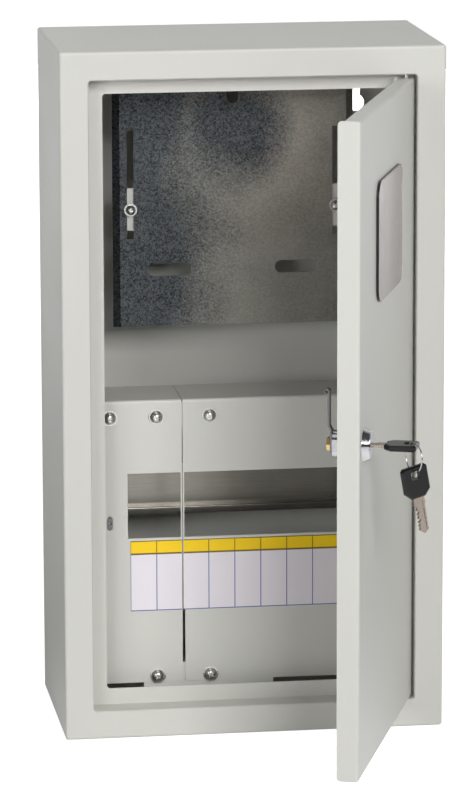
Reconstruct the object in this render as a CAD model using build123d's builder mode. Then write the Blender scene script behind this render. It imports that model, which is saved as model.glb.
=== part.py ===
from build123d import *
from math import cos, radians, sin
import os

# Electrical enclosure for a meter and a row of modular breakers. Millimetres, +Z up, front towards -Y.
# The origin is the middle of the back face, which goes against the wall.
# "Depth" is counted from the plane of the front frame towards the wall.
os.makedirs("parts", exist_ok=True)

# Cabinet
BOX_WIDTH = 260.0
BOX_HEIGHT = 470.0
BOX_DEPTH = 143.0
SHEET = 1.2
BOX_BEND = 2.0
FRAME_WIDTH = 19.5
RECESS_DEPTH = 18.0
RECESS_CORNER = 2.0
LIP_WIDTH = 11.0
LIP_CORNER = 2.5
FOLD_EASE = 0.7

# Wall fixings: keyholes in the back
KEYHOLE_SPACING_X = 185.0
KEYHOLE_SPACING_Z = 356.0
KEYHOLE_RADIUS = 6.0
KEYHOLE_SLOT = 6.0
KEYHOLE_RISE = 11.0

# Cable entries: knock-outs pressed into the floor
KNOCKOUT_RADIUS = 11.0
KNOCKOUT_PITCH = 62.0
KNOCKOUT_DEPTH = 92.0
KNOCKOUT_CUT = 0.5

# Door
DOOR_GAP = 1.8
DOOR_SET = 0.2
DOOR_THICKNESS = 14.5
DOOR_RETURN = 10.2
DOOR_CORNER = 2.6
DOOR_DROP = 1.2
DOOR_SHEET = 1.0
DOOR_BEND = 2.0
DOOR_OPEN = 70.7
HINGE_INSET = 5.0
PIN_RADIUS = 2.0
PIN_RUNNING = 0.05
PIN_HEAD_RADIUS = 3.2
PIN_HEAD = 2.0
PIN_REACH = 3.0

# Window in the door
WINDOW_WIDTH = 96.0
WINDOW_HEIGHT = 78.8
WINDOW_DROP = 87.2
WINDOW_CORNER = 11.0
PANE_THICKNESS = 2.0
PANE_RAISE = 1.9
PANE_FIT = 0.15
PANE_MARGIN = 7.0
CLIP_WIDTH = 12.0
CLIP_SHEET = 0.8
CLIP_REACH = 5.0
CLIP_INSET = 22.0
CLIP_FOOT = 9.0

# Cam lock
LOCK_INSET = 17.5
LOCK_Z = 4.4
BEZEL_RADIUS = 11.2
BEZEL_TAPER = 2.2
BEZEL_HEIGHT = 5.0
BEZEL_EDGE = 0.6
BARREL_RADIUS = 8.8
BARREL_FLATS = 15.6
BARREL_LENGTH = 19.6
BARREL_CLEARANCE = 0.15
LOCK_NUT_FLATS = 23.0
LOCK_NUT = 4.5
LOCK_NUT_EDGE = 0.6
PLUG_RADIUS = 6.0
PLUG_RUNNING = 0.05
PLUG_FLANGE_RADIUS = 7.2
PLUG_FLANGE = 1.6
PLUG_SEAT = 0.1
PLUG_SQUARE = 6.5
PLUG_THREAD_RADIUS = 2.5
KEYWAY_DEPTH = 20.0
KEYWAY_CLEARANCE = 0.2
CAM_SHEET = 1.2
CAM_GAP = 0.4
CAM_WIDTH = 12.0
CAM_CORNER = 4.0
CAM_ARM_WIDTH = 6.0
CAM_LENGTH = 34.0
CAM_STEP = 2.0
CAM_CURL_RADIUS = 1.7
CAM_FIT = 0.05
CAM_NUT_FLATS = 8.0
CAM_NUT = 2.6

# Keys and key ring
BLADE_WIDTH = 7.0
BLADE_THICKNESS = 2.0
BLADE_LENGTH = 24.0
BLADE_TIP = 2.2
SHOULDER_WIDTH = 8.0
SHOULDER_LENGTH = 5.0
TANG_WIDTH = 6.0
TANG_LENGTH = 6.0
TANG_FIT = 0.05
BLADE_GROOVE = 0.5
GROOVE_X = -1.75
GROOVE_WIDTH = 1.4
BIT_START = 0.9
BIT_PITCH = 2.6
BIT_RAMP = 0.65
BIT_DEPTHS = (1.2, 2.1, 1.5, 2.5, 1.7, 1.3)
KEY_OUT = 8.4
HEAD_LENGTH = 21.0
HEAD_WIDTH = 18.6
HEAD_THICKNESS = 4.0
HEAD_CORNER = 4.2
HEAD_BOW_CORNER = 1.6
HEAD_EDGE = 0.9
HEAD_BAR = 3.2
HEAD_SLOT_LENGTH = 5.4
HEAD_SLOT_WIDTH = 6.6
HEAD_SLOT_CORNER = 1.4
RING_RADIUS = 9.8
RING_WIRE_RADIUS = 0.65
RING_WIRE_SIDES = 8
RING_TURN = 50.0
RING_OFFSET = 5.2
RING_REST = 1.1
SPARE_LEAN = 11.0
SPARE_REST = 0.55

# Meter panel and its two brackets
PANEL_WIDTH = 168.0
PANEL_BOTTOM = 31.0
PANEL_TOP = 212.0
PANEL_DEPTH = 100.0
PANEL_SHEET = 1.2
PANEL_EDGE = 5.3
PANEL_EDGE_BEND = 18.0
PANEL_SLOT_INSET = 12.6
PANEL_SLOT_WIDTH = 4.6
PANEL_PLAY = 0.3
PANEL_SLOT_BOTTOM = 92.0
PANEL_SLOT_TOP = 168.0
METER_SLOT_SPACING = 88.6
METER_SLOT_LENGTH = 30.3
METER_SLOT_WIDTH = 8.8
METER_SLOT_Z = 70.6
HANG_SLOT_WIDTH = 7.8
HANG_SLOT_BOTTOM = 185.0
HANG_SLOT_TOP = 202.0
PANEL_BRACKET_Z = 112.8
PANEL_BRACKET_HEIGHT = 29.4
PANEL_BRACKET_WIDTH = 14.0
PANEL_BRACKET_FOOT = 15.0
PANEL_SCREW_RADIUS = 2.0
PANEL_SCREW_HEAD_RADIUS = 3.6
PANEL_SCREW_HEAD = 2.4
PANEL_SCREW_TURN = 20.0
PANEL_WASHER_RADIUS = 4.5
PANEL_WASHER = 0.8
BRACKET_SHEET = 1.5

# Breaker row: rail, its brackets and the cover plates
MODULE = 18.0
LEFT_MODULES = 2
RIGHT_MODULES = 7
ROW_Z = -81.8
RAIL_DEPTH = 87.0
RAIL_LENGTH = 172.0
RAIL_HEIGHT = 35.0
RAIL_CHANNEL = 27.0
RAIL_THROW = 7.5
RAIL_SHEET = 1.0
RAIL_BEND = 0.8
RAIL_BRACKET_INSET = 14.0
RAIL_BRACKET_WIDTH = 18.0
RAIL_BRACKET_HEIGHT = 24.0
RAIL_BRACKET_FOOT = 14.0
RAIL_SCREW_INSET = 5.5
RAIL_SCREW_RADIUS = 2.5
RAIL_SCREW_HEAD_RADIUS = 4.5
RAIL_SCREW_HEAD = 2.8
COVER_DEPTH = 37.0
COVER_SHEET = 1.0
COVER_BEND = 2.0
COVER_TOP = -8.3
COVER_BOTTOM = -206.2
COVER_HALF_WIDTH = 104.0
COVER_FLANGE = 50.0
COVER_SPLIT = -44.5
COVER_GAP = 0.6
COVER_STRIP = 0.9
CUTOUT_HEIGHT = 45.5
CUTOUT_PLAY = 0.5
RELIEF_WIDTH = 1.3
LABEL_DROP = 1.7
LABEL_HEIGHT = 49.3
LABEL_THICKNESS = 0.2
LABEL_INSET = 0.3
SEAL_SLOT_X = -94.5
SEAL_SLOT_Z = -93.3
SEAL_SLOT_WIDTH = 4.4
SEAL_SLOT_HEIGHT = 9.8

# Cover fixings
COVER_SCREW_RADIUS = 2.4
COVER_SCREW_CLEARANCE = 0.3
COVER_SCREW_HEAD_RADIUS = 5.3
COVER_SCREW_DOME_RADIUS = 4.4
COVER_SCREW_DOME_TAPER = 30.0
COVER_SCREW_HEAD = 3.2
COVER_SCREW_FLANGE = 0.8
COVER_SCREW_CROSS = 3.6
COVER_SCREW_TURN = 45.0
SCREW_CROSS_WIDTH = 1.1
SCREW_CROSS_DEPTH = 1.4
COVER_SCREW_LENGTH = 8.0
SCREW_TOP_Z = -20.0
SCREW_BOTTOM_Z = -201.7
SCREW_SIDE_X = 94.2
SCREW_MID_X = -62.2
SCREW_NEAR_X = -25.6
COVER_SLOT_RUN = 3.0
UPRIGHT_INSET = 3.0
UPRIGHT_WIDTH = 13.0
UPRIGHT_FOOT = 14.0
UPRIGHT_TOP = -10.5
UPRIGHT_BOTTOM = -104.0
CROSSBAR_HEIGHT = 19.0
CROSSBAR_SHELF = 10.0
FLOOR_BRACKET_LEFT = -71.7
FLOOR_BRACKET_RIGHT = 18.2
FLOOR_BRACKET_TOP = -193.0
FLOOR_BRACKET_FOOT = 22.0
LUG_WIDTH = 3.0
LUG_HEIGHT = 8.4
LUG_PROUD = 1.0
LUG_HOLE_RADIUS = 0.9
LUG_HOLE_OFFSET = 0.3

# Earth stud
EARTH_X = 62.0
EARTH_Z = -150.0
EARTH_RADIUS = 3.0
EARTH_EDGE = 0.75
EARTH_LENGTH = 18.0
EARTH_NUT_FLATS = 10.0
EARTH_NUT = 5.0
EARTH_WASHER_RADIUS = 6.0
EARTH_WASHER = 1.6
THREAD_FIT = 0.05
HEX_SIDES = 6

# Sizes that follow
PANEL_SLOT_SPACING = PANEL_WIDTH - 2 * PANEL_SLOT_INSET
RECESS_WIDTH = BOX_WIDTH - 2 * FRAME_WIDTH
RECESS_HEIGHT = BOX_HEIGHT - 2 * FRAME_WIDTH
DOOR_WIDTH = RECESS_WIDTH - 2 * DOOR_GAP
DOOR_HEIGHT = RECESS_HEIGHT - 2 * DOOR_GAP
WINDOW_Z = DOOR_HEIGHT / 2 - WINDOW_DROP
HINGE_X = DOOR_WIDTH / 2 - HINGE_INSET
HINGE_Y = -BOX_DEPTH + DOOR_SET + HINGE_INSET
LOCK_X = -DOOR_WIDTH / 2 + LOCK_INSET
WALL_DEPTH = BOX_DEPTH - SHEET
COVER_BACK = COVER_DEPTH + COVER_SHEET
RAIL_BACK = RAIL_DEPTH + RAIL_THROW
PANEL_BACK = PANEL_DEPTH + PANEL_SHEET + PANEL_PLAY
CUTOUT_BOTTOM = ROW_Z - CUTOUT_HEIGHT / 2
LABEL_TOP = CUTOUT_BOTTOM - LABEL_DROP


def face(depth):
    """The plane at this depth behind the front, seen from the front: X to the right, Z up."""
    return Plane.XZ.offset(BOX_DEPTH - depth)


def span(low, high):
    """The middle and the length between two values."""
    return (low + high) / 2, abs(high - low)


# The door is modelled shut and then turned about its hinge to where it stands open.
OPENED = Pos(HINGE_X, HINGE_Y, -DOOR_DROP) * Rot(0, 0, DOOR_OPEN) * Pos(-HINGE_X, -HINGE_Y, 0)


# Cabinet: one folded and welded sheet, with the front frame, the door recess and its lip
with BuildPart() as cabinet_shell:
    with BuildSketch(face(0)):
        Rectangle(BOX_WIDTH, BOX_HEIGHT)
    extrude(amount=-BOX_DEPTH)
    front_edges = cabinet_shell.faces().sort_by(Axis.Y)[0].edges()
    fillet(front_edges + cabinet_shell.edges().filter_by(Axis.Y), BOX_BEND)
    with BuildSketch(face(SHEET)):
        Rectangle(BOX_WIDTH - 2 * SHEET, BOX_HEIGHT - 2 * SHEET)
    extrude(amount=-(BOX_DEPTH - 2 * SHEET), mode=Mode.SUBTRACT)
    with BuildSketch(face(SHEET)):
        RectangleRounded(RECESS_WIDTH + 2 * SHEET, RECESS_HEIGHT + 2 * SHEET, RECESS_CORNER + SHEET)
    extrude(amount=-RECESS_DEPTH)
    with BuildSketch(face(0)):
        RectangleRounded(RECESS_WIDTH, RECESS_HEIGHT, RECESS_CORNER)
    extrude(amount=-RECESS_DEPTH, mode=Mode.SUBTRACT)
    front_face = cabinet_shell.faces().filter_by(Plane.XZ).sort_by(Axis.Y)[0]
    chamfer(front_face.inner_wires()[0].edges(), FOLD_EASE)
    with BuildSketch(face(RECESS_DEPTH)):
        RectangleRounded(RECESS_WIDTH - 2 * LIP_WIDTH, RECESS_HEIGHT - 2 * LIP_WIDTH, LIP_CORNER)
    extrude(amount=-SHEET, mode=Mode.SUBTRACT)
    with BuildSketch(face(WALL_DEPTH)):
        with GridLocations(KEYHOLE_SPACING_X, KEYHOLE_SPACING_Z, 2, 2):
            Circle(KEYHOLE_RADIUS)
            with Locations((0, KEYHOLE_RISE / 2)):
                Rectangle(KEYHOLE_SLOT, KEYHOLE_RISE)
            with Locations((0, KEYHOLE_RISE)):
                Circle(KEYHOLE_SLOT / 2)
    extrude(amount=-SHEET, mode=Mode.SUBTRACT)
    for side in (1, -1):
        with BuildSketch(Plane.XY.offset(side * RECESS_HEIGHT / 2)):
            with Locations((HINGE_X, HINGE_Y)):
                Circle(PIN_RADIUS + PIN_RUNNING)
        extrude(amount=side * SHEET, mode=Mode.SUBTRACT)
    with BuildSketch(Plane.XY.offset(-BOX_HEIGHT / 2)):
        with Locations((0, KNOCKOUT_DEPTH - BOX_DEPTH)):
            with GridLocations(KNOCKOUT_PITCH, 1, 3, 1):
                Circle(KNOCKOUT_RADIUS)
    extrude(amount=KNOCKOUT_CUT, mode=Mode.SUBTRACT)

cabinet_shell.part.label = "cabinet_shell"
export_step(cabinet_shell.part, "parts/cabinet_shell.step")

# Door: a folded pan, its open side towards the cabinet
DOOR_INNER = DOOR_SET + DOOR_SHEET
with BuildPart() as door:
    with BuildSketch(face(DOOR_SET)):
        Rectangle(DOOR_WIDTH, DOOR_HEIGHT)
    extrude(amount=-DOOR_THICKNESS)
    fillet(door.faces().sort_by(Axis.Y)[0].edges(), DOOR_BEND)
    with BuildSketch(face(DOOR_INNER)):
        Rectangle(DOOR_WIDTH - 2 * DOOR_SHEET, DOOR_HEIGHT - 2 * DOOR_SHEET)
    extrude(amount=-DOOR_THICKNESS, mode=Mode.SUBTRACT)
    with BuildSketch(face(DOOR_SET + DOOR_RETURN)):
        Rectangle(DOOR_WIDTH - 2 * DOOR_SHEET, DOOR_HEIGHT)
    extrude(amount=-DOOR_THICKNESS, mode=Mode.SUBTRACT)
    fillet(door.edges().filter_by(Axis.X).group_by(Axis.Y)[-1], DOOR_CORNER)
    with BuildSketch(face(DOOR_SET)):
        with Locations((0, WINDOW_Z)):
            RectangleRounded(WINDOW_WIDTH, WINDOW_HEIGHT, WINDOW_CORNER)
    extrude(amount=-DOOR_SHEET, mode=Mode.SUBTRACT)
    with BuildSketch(face(DOOR_SET).shift_origin((LOCK_X, DOOR_SET - BOX_DEPTH, LOCK_Z))):
        Circle(BARREL_RADIUS + BARREL_CLEARANCE)
        Rectangle(BARREL_FLATS + 2 * BARREL_CLEARANCE, 3 * BARREL_RADIUS, mode=Mode.INTERSECT)
    extrude(amount=-DOOR_SHEET, mode=Mode.SUBTRACT)
    for side in (1, -1):
        with BuildSketch(Plane.XY.offset(side * DOOR_HEIGHT / 2)):
            with Locations((HINGE_X, HINGE_Y)):
                Circle(PIN_RADIUS)
        extrude(amount=-side * DOOR_SHEET, mode=Mode.SUBTRACT)

door.part.label = "door"
export_step(door.part.moved(OPENED), "parts/door.step")

# Hinge pins: headed, seated inside the door's returns, running in the cabinet's recess
HINGE_PIN_LENGTH = DOOR_SHEET + DOOR_GAP + SHEET + PIN_REACH
for side, pin_name in ((1, "hinge_pin_upper"), (-1, "hinge_pin_lower")):
    with BuildPart() as hinge_pin:
        with BuildSketch(Plane.XY.offset(side * (DOOR_HEIGHT / 2 - DOOR_SHEET))):
            with Locations((HINGE_X, HINGE_Y)):
                Circle(PIN_RADIUS)
        extrude(amount=side * HINGE_PIN_LENGTH)
        with BuildSketch(Plane.XY.offset(side * (DOOR_HEIGHT / 2 - DOOR_SHEET))):
            with Locations((HINGE_X, HINGE_Y)):
                Circle(PIN_HEAD_RADIUS)
        extrude(amount=-side * PIN_HEAD)
    hinge_pin.part.label = pin_name
    export_step(hinge_pin.part.moved(OPENED), f"parts/{pin_name}.step")

# Window pane: a rim behind the door's cut-out, and a raised field that fills it
PANE_WIDTH = WINDOW_WIDTH + 2 * PANE_MARGIN
PANE_HEIGHT = WINDOW_HEIGHT + 2 * PANE_MARGIN
FIELD_WIDTH = WINDOW_WIDTH - 2 * PANE_FIT
FIELD_HEIGHT = WINDOW_HEIGHT - 2 * PANE_FIT
with BuildPart() as window_pane:
    with BuildSketch(face(DOOR_INNER)):
        with Locations((0, WINDOW_Z)):
            RectangleRounded(PANE_WIDTH, PANE_HEIGHT, PANE_MARGIN / 2)
    extrude(amount=-PANE_THICKNESS)
    with BuildSketch(face(DOOR_INNER)):
        with Locations((0, WINDOW_Z)):
            RectangleRounded(FIELD_WIDTH, FIELD_HEIGHT, WINDOW_CORNER - PANE_FIT)
    extrude(amount=DOOR_SHEET + PANE_RAISE)

window_pane.part.label = "window_pane"
export_step(window_pane.part.moved(OPENED), "parts/window_pane.step")

# Clips that hold the pane: four stepped strips welded to the door, above and below it
CLIP_X = WINDOW_WIDTH / 2 - CLIP_INSET
CLIP_TIP = PANE_HEIGHT / 2 - CLIP_REACH
CLIP_BEND = PANE_HEIGHT / 2 + CLIP_SHEET
CLIP_HEEL = CLIP_BEND + CLIP_FOOT
pane_back_y = DOOR_INNER + PANE_THICKNESS - BOX_DEPTH
door_inner_y = DOOR_INNER - BOX_DEPTH
with BuildPart() as pane_clips:
    for x in (-CLIP_X, CLIP_X):
        for side in (1, -1):
            with BuildSketch(Plane.YZ.offset(x - CLIP_WIDTH / 2)):
                with BuildLine():
                    Polyline(
                        (pane_back_y, WINDOW_Z + side * CLIP_TIP),
                        (pane_back_y, WINDOW_Z + side * CLIP_BEND),
                        (door_inner_y, WINDOW_Z + side * CLIP_BEND),
                        (door_inner_y, WINDOW_Z + side * CLIP_HEEL),
                        (door_inner_y + CLIP_SHEET, WINDOW_Z + side * CLIP_HEEL),
                        (door_inner_y + CLIP_SHEET, WINDOW_Z + side * (CLIP_BEND + CLIP_SHEET)),
                        (pane_back_y + CLIP_SHEET, WINDOW_Z + side * (CLIP_BEND + CLIP_SHEET)),
                        (pane_back_y + CLIP_SHEET, WINDOW_Z + side * CLIP_TIP),
                        close=True,
                    )
                make_face()
            extrude(amount=CLIP_WIDTH)

pane_clips.part.label = "pane_clips"
export_step(pane_clips.part.moved(OPENED), "parts/pane_clips.step")

# Cam lock. Its pieces are turned about this axis, and a depth along it is counted from the door's face.
DOOR_FACE_Y = DOOR_SET - BOX_DEPTH
LOCK_SECTION = Plane(origin=(LOCK_X, DOOR_FACE_Y, LOCK_Z), x_dir=(1, 0, 0), z_dir=(0, 0, 1))
LOCK_FACE = Plane(origin=(LOCK_X, DOOR_FACE_Y, LOCK_Z), x_dir=(1, 0, 0), z_dir=(0, -1, 0))
LOCK_AXIS = Axis((LOCK_X, DOOR_FACE_Y, LOCK_Z), (0, 1, 0))
PLUG_BORE = PLUG_RADIUS + PLUG_RUNNING

with BuildPart() as lock_housing:
    with BuildSketch(LOCK_SECTION):
        with BuildLine():
            Polyline(
                (PLUG_BORE, PLUG_FLANGE + PLUG_SEAT - BEZEL_HEIGHT),
                (PLUG_FLANGE_RADIUS + PLUG_RUNNING, PLUG_FLANGE + PLUG_SEAT - BEZEL_HEIGHT),
                (PLUG_FLANGE_RADIUS + PLUG_RUNNING, -BEZEL_HEIGHT),
                (BEZEL_RADIUS - BEZEL_TAPER, -BEZEL_HEIGHT),
                (BEZEL_RADIUS, 0),
                (BARREL_RADIUS, 0),
                (BARREL_RADIUS, BARREL_LENGTH),
                (PLUG_BORE, BARREL_LENGTH),
                close=True,
            )
        make_face()
    revolve(axis=LOCK_AXIS)
    bezel_rim = lock_housing.edges().filter_by(GeomType.CIRCLE).group_by(Axis.Y)[0].sort_by(SortBy.RADIUS)[-1]
    chamfer(bezel_rim, BEZEL_EDGE)
    with BuildSketch(LOCK_FACE):
        Rectangle(3 * BARREL_RADIUS, 3 * BARREL_RADIUS)
        Rectangle(BARREL_FLATS, 3 * BARREL_RADIUS, mode=Mode.SUBTRACT)
    extrude(amount=-BARREL_LENGTH, mode=Mode.SUBTRACT)

lock_housing.part.label = "lock_housing"
export_step(lock_housing.part.moved(OPENED), "parts/lock_housing.step")

with BuildPart() as lock_nut:
    with BuildSketch(LOCK_FACE.offset(-DOOR_SHEET)):
        RegularPolygon(LOCK_NUT_FLATS / 2, HEX_SIDES, major_radius=False)
        Circle(BARREL_RADIUS + THREAD_FIT, mode=Mode.SUBTRACT)
    extrude(amount=-LOCK_NUT)
    nut_blank = lock_nut.edges().filter_by(GeomType.LINE).group_by(Axis.Y)[-1]
    chamfer(nut_blank, LOCK_NUT_EDGE)

lock_nut.part.label = "lock_nut"
export_step(lock_nut.part.moved(OPENED), "parts/lock_nut.step")

# Plug: it turns in the barrel, with the keyway in front and a square and a thread for the cam behind
PLUG_END = BARREL_LENGTH + CAM_GAP
with BuildPart() as lock_plug:
    with BuildSketch(LOCK_SECTION):
        with BuildLine():
            Polyline(
                (0, -BEZEL_HEIGHT),
                (PLUG_FLANGE_RADIUS, -BEZEL_HEIGHT),
                (PLUG_FLANGE_RADIUS, PLUG_FLANGE - BEZEL_HEIGHT),
                (PLUG_RADIUS, PLUG_FLANGE - BEZEL_HEIGHT),
                (PLUG_RADIUS, PLUG_END),
                (0, PLUG_END),
                close=True,
            )
        make_face()
    revolve(axis=LOCK_AXIS)
    with BuildSketch(LOCK_FACE.offset(-PLUG_END)):
        Rectangle(PLUG_SQUARE, PLUG_SQUARE)
    extrude(amount=-CAM_SHEET)
    with BuildSketch(LOCK_FACE.offset(-PLUG_END - CAM_SHEET)):
        Circle(PLUG_THREAD_RADIUS)
    extrude(amount=-(CAM_NUT + THREAD_FIT))
    with BuildSketch(LOCK_FACE.offset(BEZEL_HEIGHT)):
        Rectangle(BLADE_WIDTH + 2 * KEYWAY_CLEARANCE, BLADE_THICKNESS + 2 * KEYWAY_CLEARANCE)
    extrude(amount=-KEYWAY_DEPTH, mode=Mode.SUBTRACT)
    with BuildSketch(LOCK_FACE.offset(BEZEL_HEIGHT)):
        with Locations((GROOVE_X, BLADE_THICKNESS / 2 + KEYWAY_CLEARANCE)):
            Rectangle(BLADE_GROOVE * 2, BLADE_GROOVE)
    extrude(amount=-KEYWAY_DEPTH, mode=Mode.SUBTRACT)

lock_plug.part.label = "lock_plug"
export_step(lock_plug.part.moved(OPENED), "parts/lock_plug.step")

# Cam: a stepped strip with a square hole and a curled tip, standing up while the lock is open
CAM_FRONT = PLUG_END
CAM_BACK = CAM_FRONT + CAM_SHEET
CAM_TIP_FRONT = CAM_FRONT + CAM_STEP
CAM_RISE = CAM_WIDTH / 2 + CAM_STEP
CAM_SIDE = Plane(origin=(LOCK_X - CAM_WIDTH / 2, DOOR_FACE_Y, LOCK_Z), x_dir=(0, 1, 0), z_dir=(1, 0, 0))
with BuildPart() as lock_cam:
    with BuildSketch(CAM_SIDE):
        with BuildLine():
            Polyline(
                (CAM_FRONT, -CAM_WIDTH / 2),
                (CAM_FRONT, CAM_RISE),
                (CAM_TIP_FRONT, CAM_RISE + 2 * CAM_STEP),
                (CAM_TIP_FRONT, CAM_LENGTH),
                (CAM_TIP_FRONT + CAM_SHEET, CAM_LENGTH),
                (CAM_TIP_FRONT + CAM_SHEET, CAM_RISE + 2 * CAM_STEP),
                (CAM_BACK, CAM_RISE),
                (CAM_BACK, -CAM_WIDTH / 2),
                close=True,
            )
        make_face()
        with Locations((CAM_TIP_FRONT + CAM_CURL_RADIUS, CAM_LENGTH)):
            Circle(CAM_CURL_RADIUS)
            Circle(CAM_CURL_RADIUS - CAM_SHEET / 2, mode=Mode.SUBTRACT)
    extrude(amount=CAM_WIDTH)
    fillet(lock_cam.edges().filter_by(Axis.Y).group_by(Axis.Z)[0], CAM_CORNER)
    with BuildSketch(LOCK_FACE):
        with Locations((0, CAM_RISE + CAM_LENGTH)):
            Rectangle(3 * CAM_WIDTH, 2 * CAM_LENGTH)
            Rectangle(CAM_ARM_WIDTH, 2 * CAM_LENGTH, mode=Mode.SUBTRACT)
    extrude(amount=-2 * BARREL_LENGTH, mode=Mode.SUBTRACT)
    with BuildSketch(LOCK_FACE.offset(-CAM_FRONT)):
        Rectangle(PLUG_SQUARE + 2 * CAM_FIT, PLUG_SQUARE + 2 * CAM_FIT)
    extrude(amount=-CAM_SHEET, mode=Mode.SUBTRACT)

lock_cam.part.label = "lock_cam"
export_step(lock_cam.part.moved(OPENED), "parts/lock_cam.step")

with BuildPart() as cam_nut:
    with BuildSketch(LOCK_FACE.offset(-CAM_BACK)):
        RegularPolygon(CAM_NUT_FLATS / 2, HEX_SIDES, major_radius=False)
        Circle(PLUG_THREAD_RADIUS + THREAD_FIT, mode=Mode.SUBTRACT)
    extrude(amount=-CAM_NUT)

cam_nut.part.label = "cam_nut"
export_step(cam_nut.part.moved(OPENED), "parts/cam_nut.step")

# Key: modelled with its blade along +Y from the head's face, its width along X and its thickness along Z
BLADE_EDGE = BLADE_WIDTH / 2
bits = [(BLADE_EDGE, SHOULDER_LENGTH)]
for i, bit in enumerate(BIT_DEPTHS):
    bit_start = SHOULDER_LENGTH + BIT_START + BIT_PITCH * i
    bits.append((BLADE_EDGE - bit, bit_start + BIT_RAMP))
    bits.append((BLADE_EDGE - bit, bit_start + BIT_PITCH / 2))
    bits.append((BLADE_EDGE - min(BIT_DEPTHS) / 2, bit_start + BIT_PITCH))

with BuildPart() as key_blade:
    with BuildSketch(Plane.XY.offset(-BLADE_THICKNESS / 2)):
        with BuildLine():
            Polyline(
                (-TANG_WIDTH / 2, -TANG_LENGTH),
                (-TANG_WIDTH / 2, 0),
                (-SHOULDER_WIDTH / 2, 0),
                (-SHOULDER_WIDTH / 2, SHOULDER_LENGTH),
                (-BLADE_EDGE, SHOULDER_LENGTH),
                (-BLADE_EDGE, BLADE_LENGTH - BLADE_TIP),
                (-BLADE_EDGE + BLADE_TIP, BLADE_LENGTH),
                (0, BLADE_LENGTH),
                *reversed(bits),
                (SHOULDER_WIDTH / 2, SHOULDER_LENGTH),
                (SHOULDER_WIDTH / 2, 0),
                (TANG_WIDTH / 2, 0),
                (TANG_WIDTH / 2, -TANG_LENGTH),
                close=True,
            )
        make_face()
    extrude(amount=BLADE_THICKNESS)
    with BuildSketch(Plane.XY.offset(BLADE_THICKNESS / 2)):
        with Locations((GROOVE_X, (SHOULDER_LENGTH + BLADE_LENGTH) / 2)):
            Rectangle(GROOVE_WIDTH, BLADE_LENGTH)
    extrude(amount=-BLADE_GROOVE, mode=Mode.SUBTRACT)

with BuildPart() as key_head:
    with BuildSketch(Plane.XY.offset(-HEAD_THICKNESS / 2)) as head_outline:
        with Locations((0, -HEAD_LENGTH / 2)):
            Rectangle(HEAD_WIDTH, HEAD_LENGTH)
        chamfer(head_outline.vertices().group_by(Axis.Y)[-1], HEAD_CORNER)
        chamfer(head_outline.vertices().group_by(Axis.Y)[0], HEAD_BOW_CORNER)
    extrude(amount=HEAD_THICKNESS)
    chamfer(key_head.faces().filter_by(Axis.Z).edges(), HEAD_EDGE)
    with BuildSketch(Plane.XY.offset(-HEAD_THICKNESS / 2)):
        with Locations((0, HEAD_BAR + HEAD_SLOT_LENGTH / 2 - HEAD_LENGTH)):
            RectangleRounded(HEAD_SLOT_WIDTH, HEAD_SLOT_LENGTH, HEAD_SLOT_CORNER)
    extrude(amount=HEAD_THICKNESS, mode=Mode.SUBTRACT)
    with BuildSketch(Plane.XZ):
        Rectangle(TANG_WIDTH + 2 * TANG_FIT, BLADE_THICKNESS + 2 * TANG_FIT)
    extrude(amount=TANG_LENGTH + TANG_FIT, mode=Mode.SUBTRACT)

KEY_ORIGIN_Y = DOOR_FACE_Y - BEZEL_HEIGHT - KEY_OUT
KEY_IN_LOCK = OPENED * Pos(LOCK_X, KEY_ORIGIN_Y, LOCK_Z)
key_blade.part.label = "key_blade"
export_step(key_blade.part.moved(KEY_IN_LOCK), "parts/key_blade.step")
key_head.part.label = "key_head"
export_step(key_head.part.moved(KEY_IN_LOCK), "parts/key_head.step")

# Key ring: it hangs round the bar at the end of the head, turned aside from the key
ring_drop = HEAD_THICKNESS / 2 + RING_REST - (RING_RADIUS - RING_WIRE_RADIUS)
ring_along = (-sin(radians(RING_TURN)), -cos(radians(RING_TURN)), 0)
bar_y = KEY_ORIGIN_Y - HEAD_LENGTH + HEAD_BAR / 2
RING_CENTRE = Vector(LOCK_X - RING_OFFSET, bar_y, LOCK_Z + ring_drop)
RING_PLANE = Plane(origin=RING_CENTRE, x_dir=ring_along, z_dir=Vector(*ring_along).cross(Vector(0, 0, 1)))
with BuildPart() as key_ring:
    with BuildSketch(Plane(origin=RING_CENTRE, x_dir=ring_along, z_dir=(0, 0, 1))):
        with Locations((RING_RADIUS, 0)):
            RegularPolygon(RING_WIRE_RADIUS, RING_WIRE_SIDES)
    revolve(axis=Axis(RING_CENTRE, RING_PLANE.z_dir))

key_ring.part.label = "key_ring"
export_step(key_ring.part.moved(OPENED), "parts/key_ring.step")

# Spare key: it hangs by its bar in the bottom of the ring, face towards the ring's line
spare_pivot = RING_CENTRE - Vector(0, 0, RING_RADIUS)
spare_hang = Plane(origin=spare_pivot, x_dir=RING_PLANE.z_dir, z_dir=ring_along)
bar_to_wire = HEAD_LENGTH - HEAD_BAR - RING_WIRE_RADIUS - SPARE_REST
SPARE_KEY = OPENED * spare_hang.location * Rot(0, 0, SPARE_LEAN) * Pos(0, bar_to_wire, 0)
spare_key_blade = key_blade.part.moved(SPARE_KEY)
spare_key_blade.label = "spare_key_blade"
export_step(spare_key_blade, "parts/spare_key_blade.step")
spare_key_head = key_head.part.moved(SPARE_KEY)
spare_key_head.label = "spare_key_head"
export_step(spare_key_head, "parts/spare_key_head.step")

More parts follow.
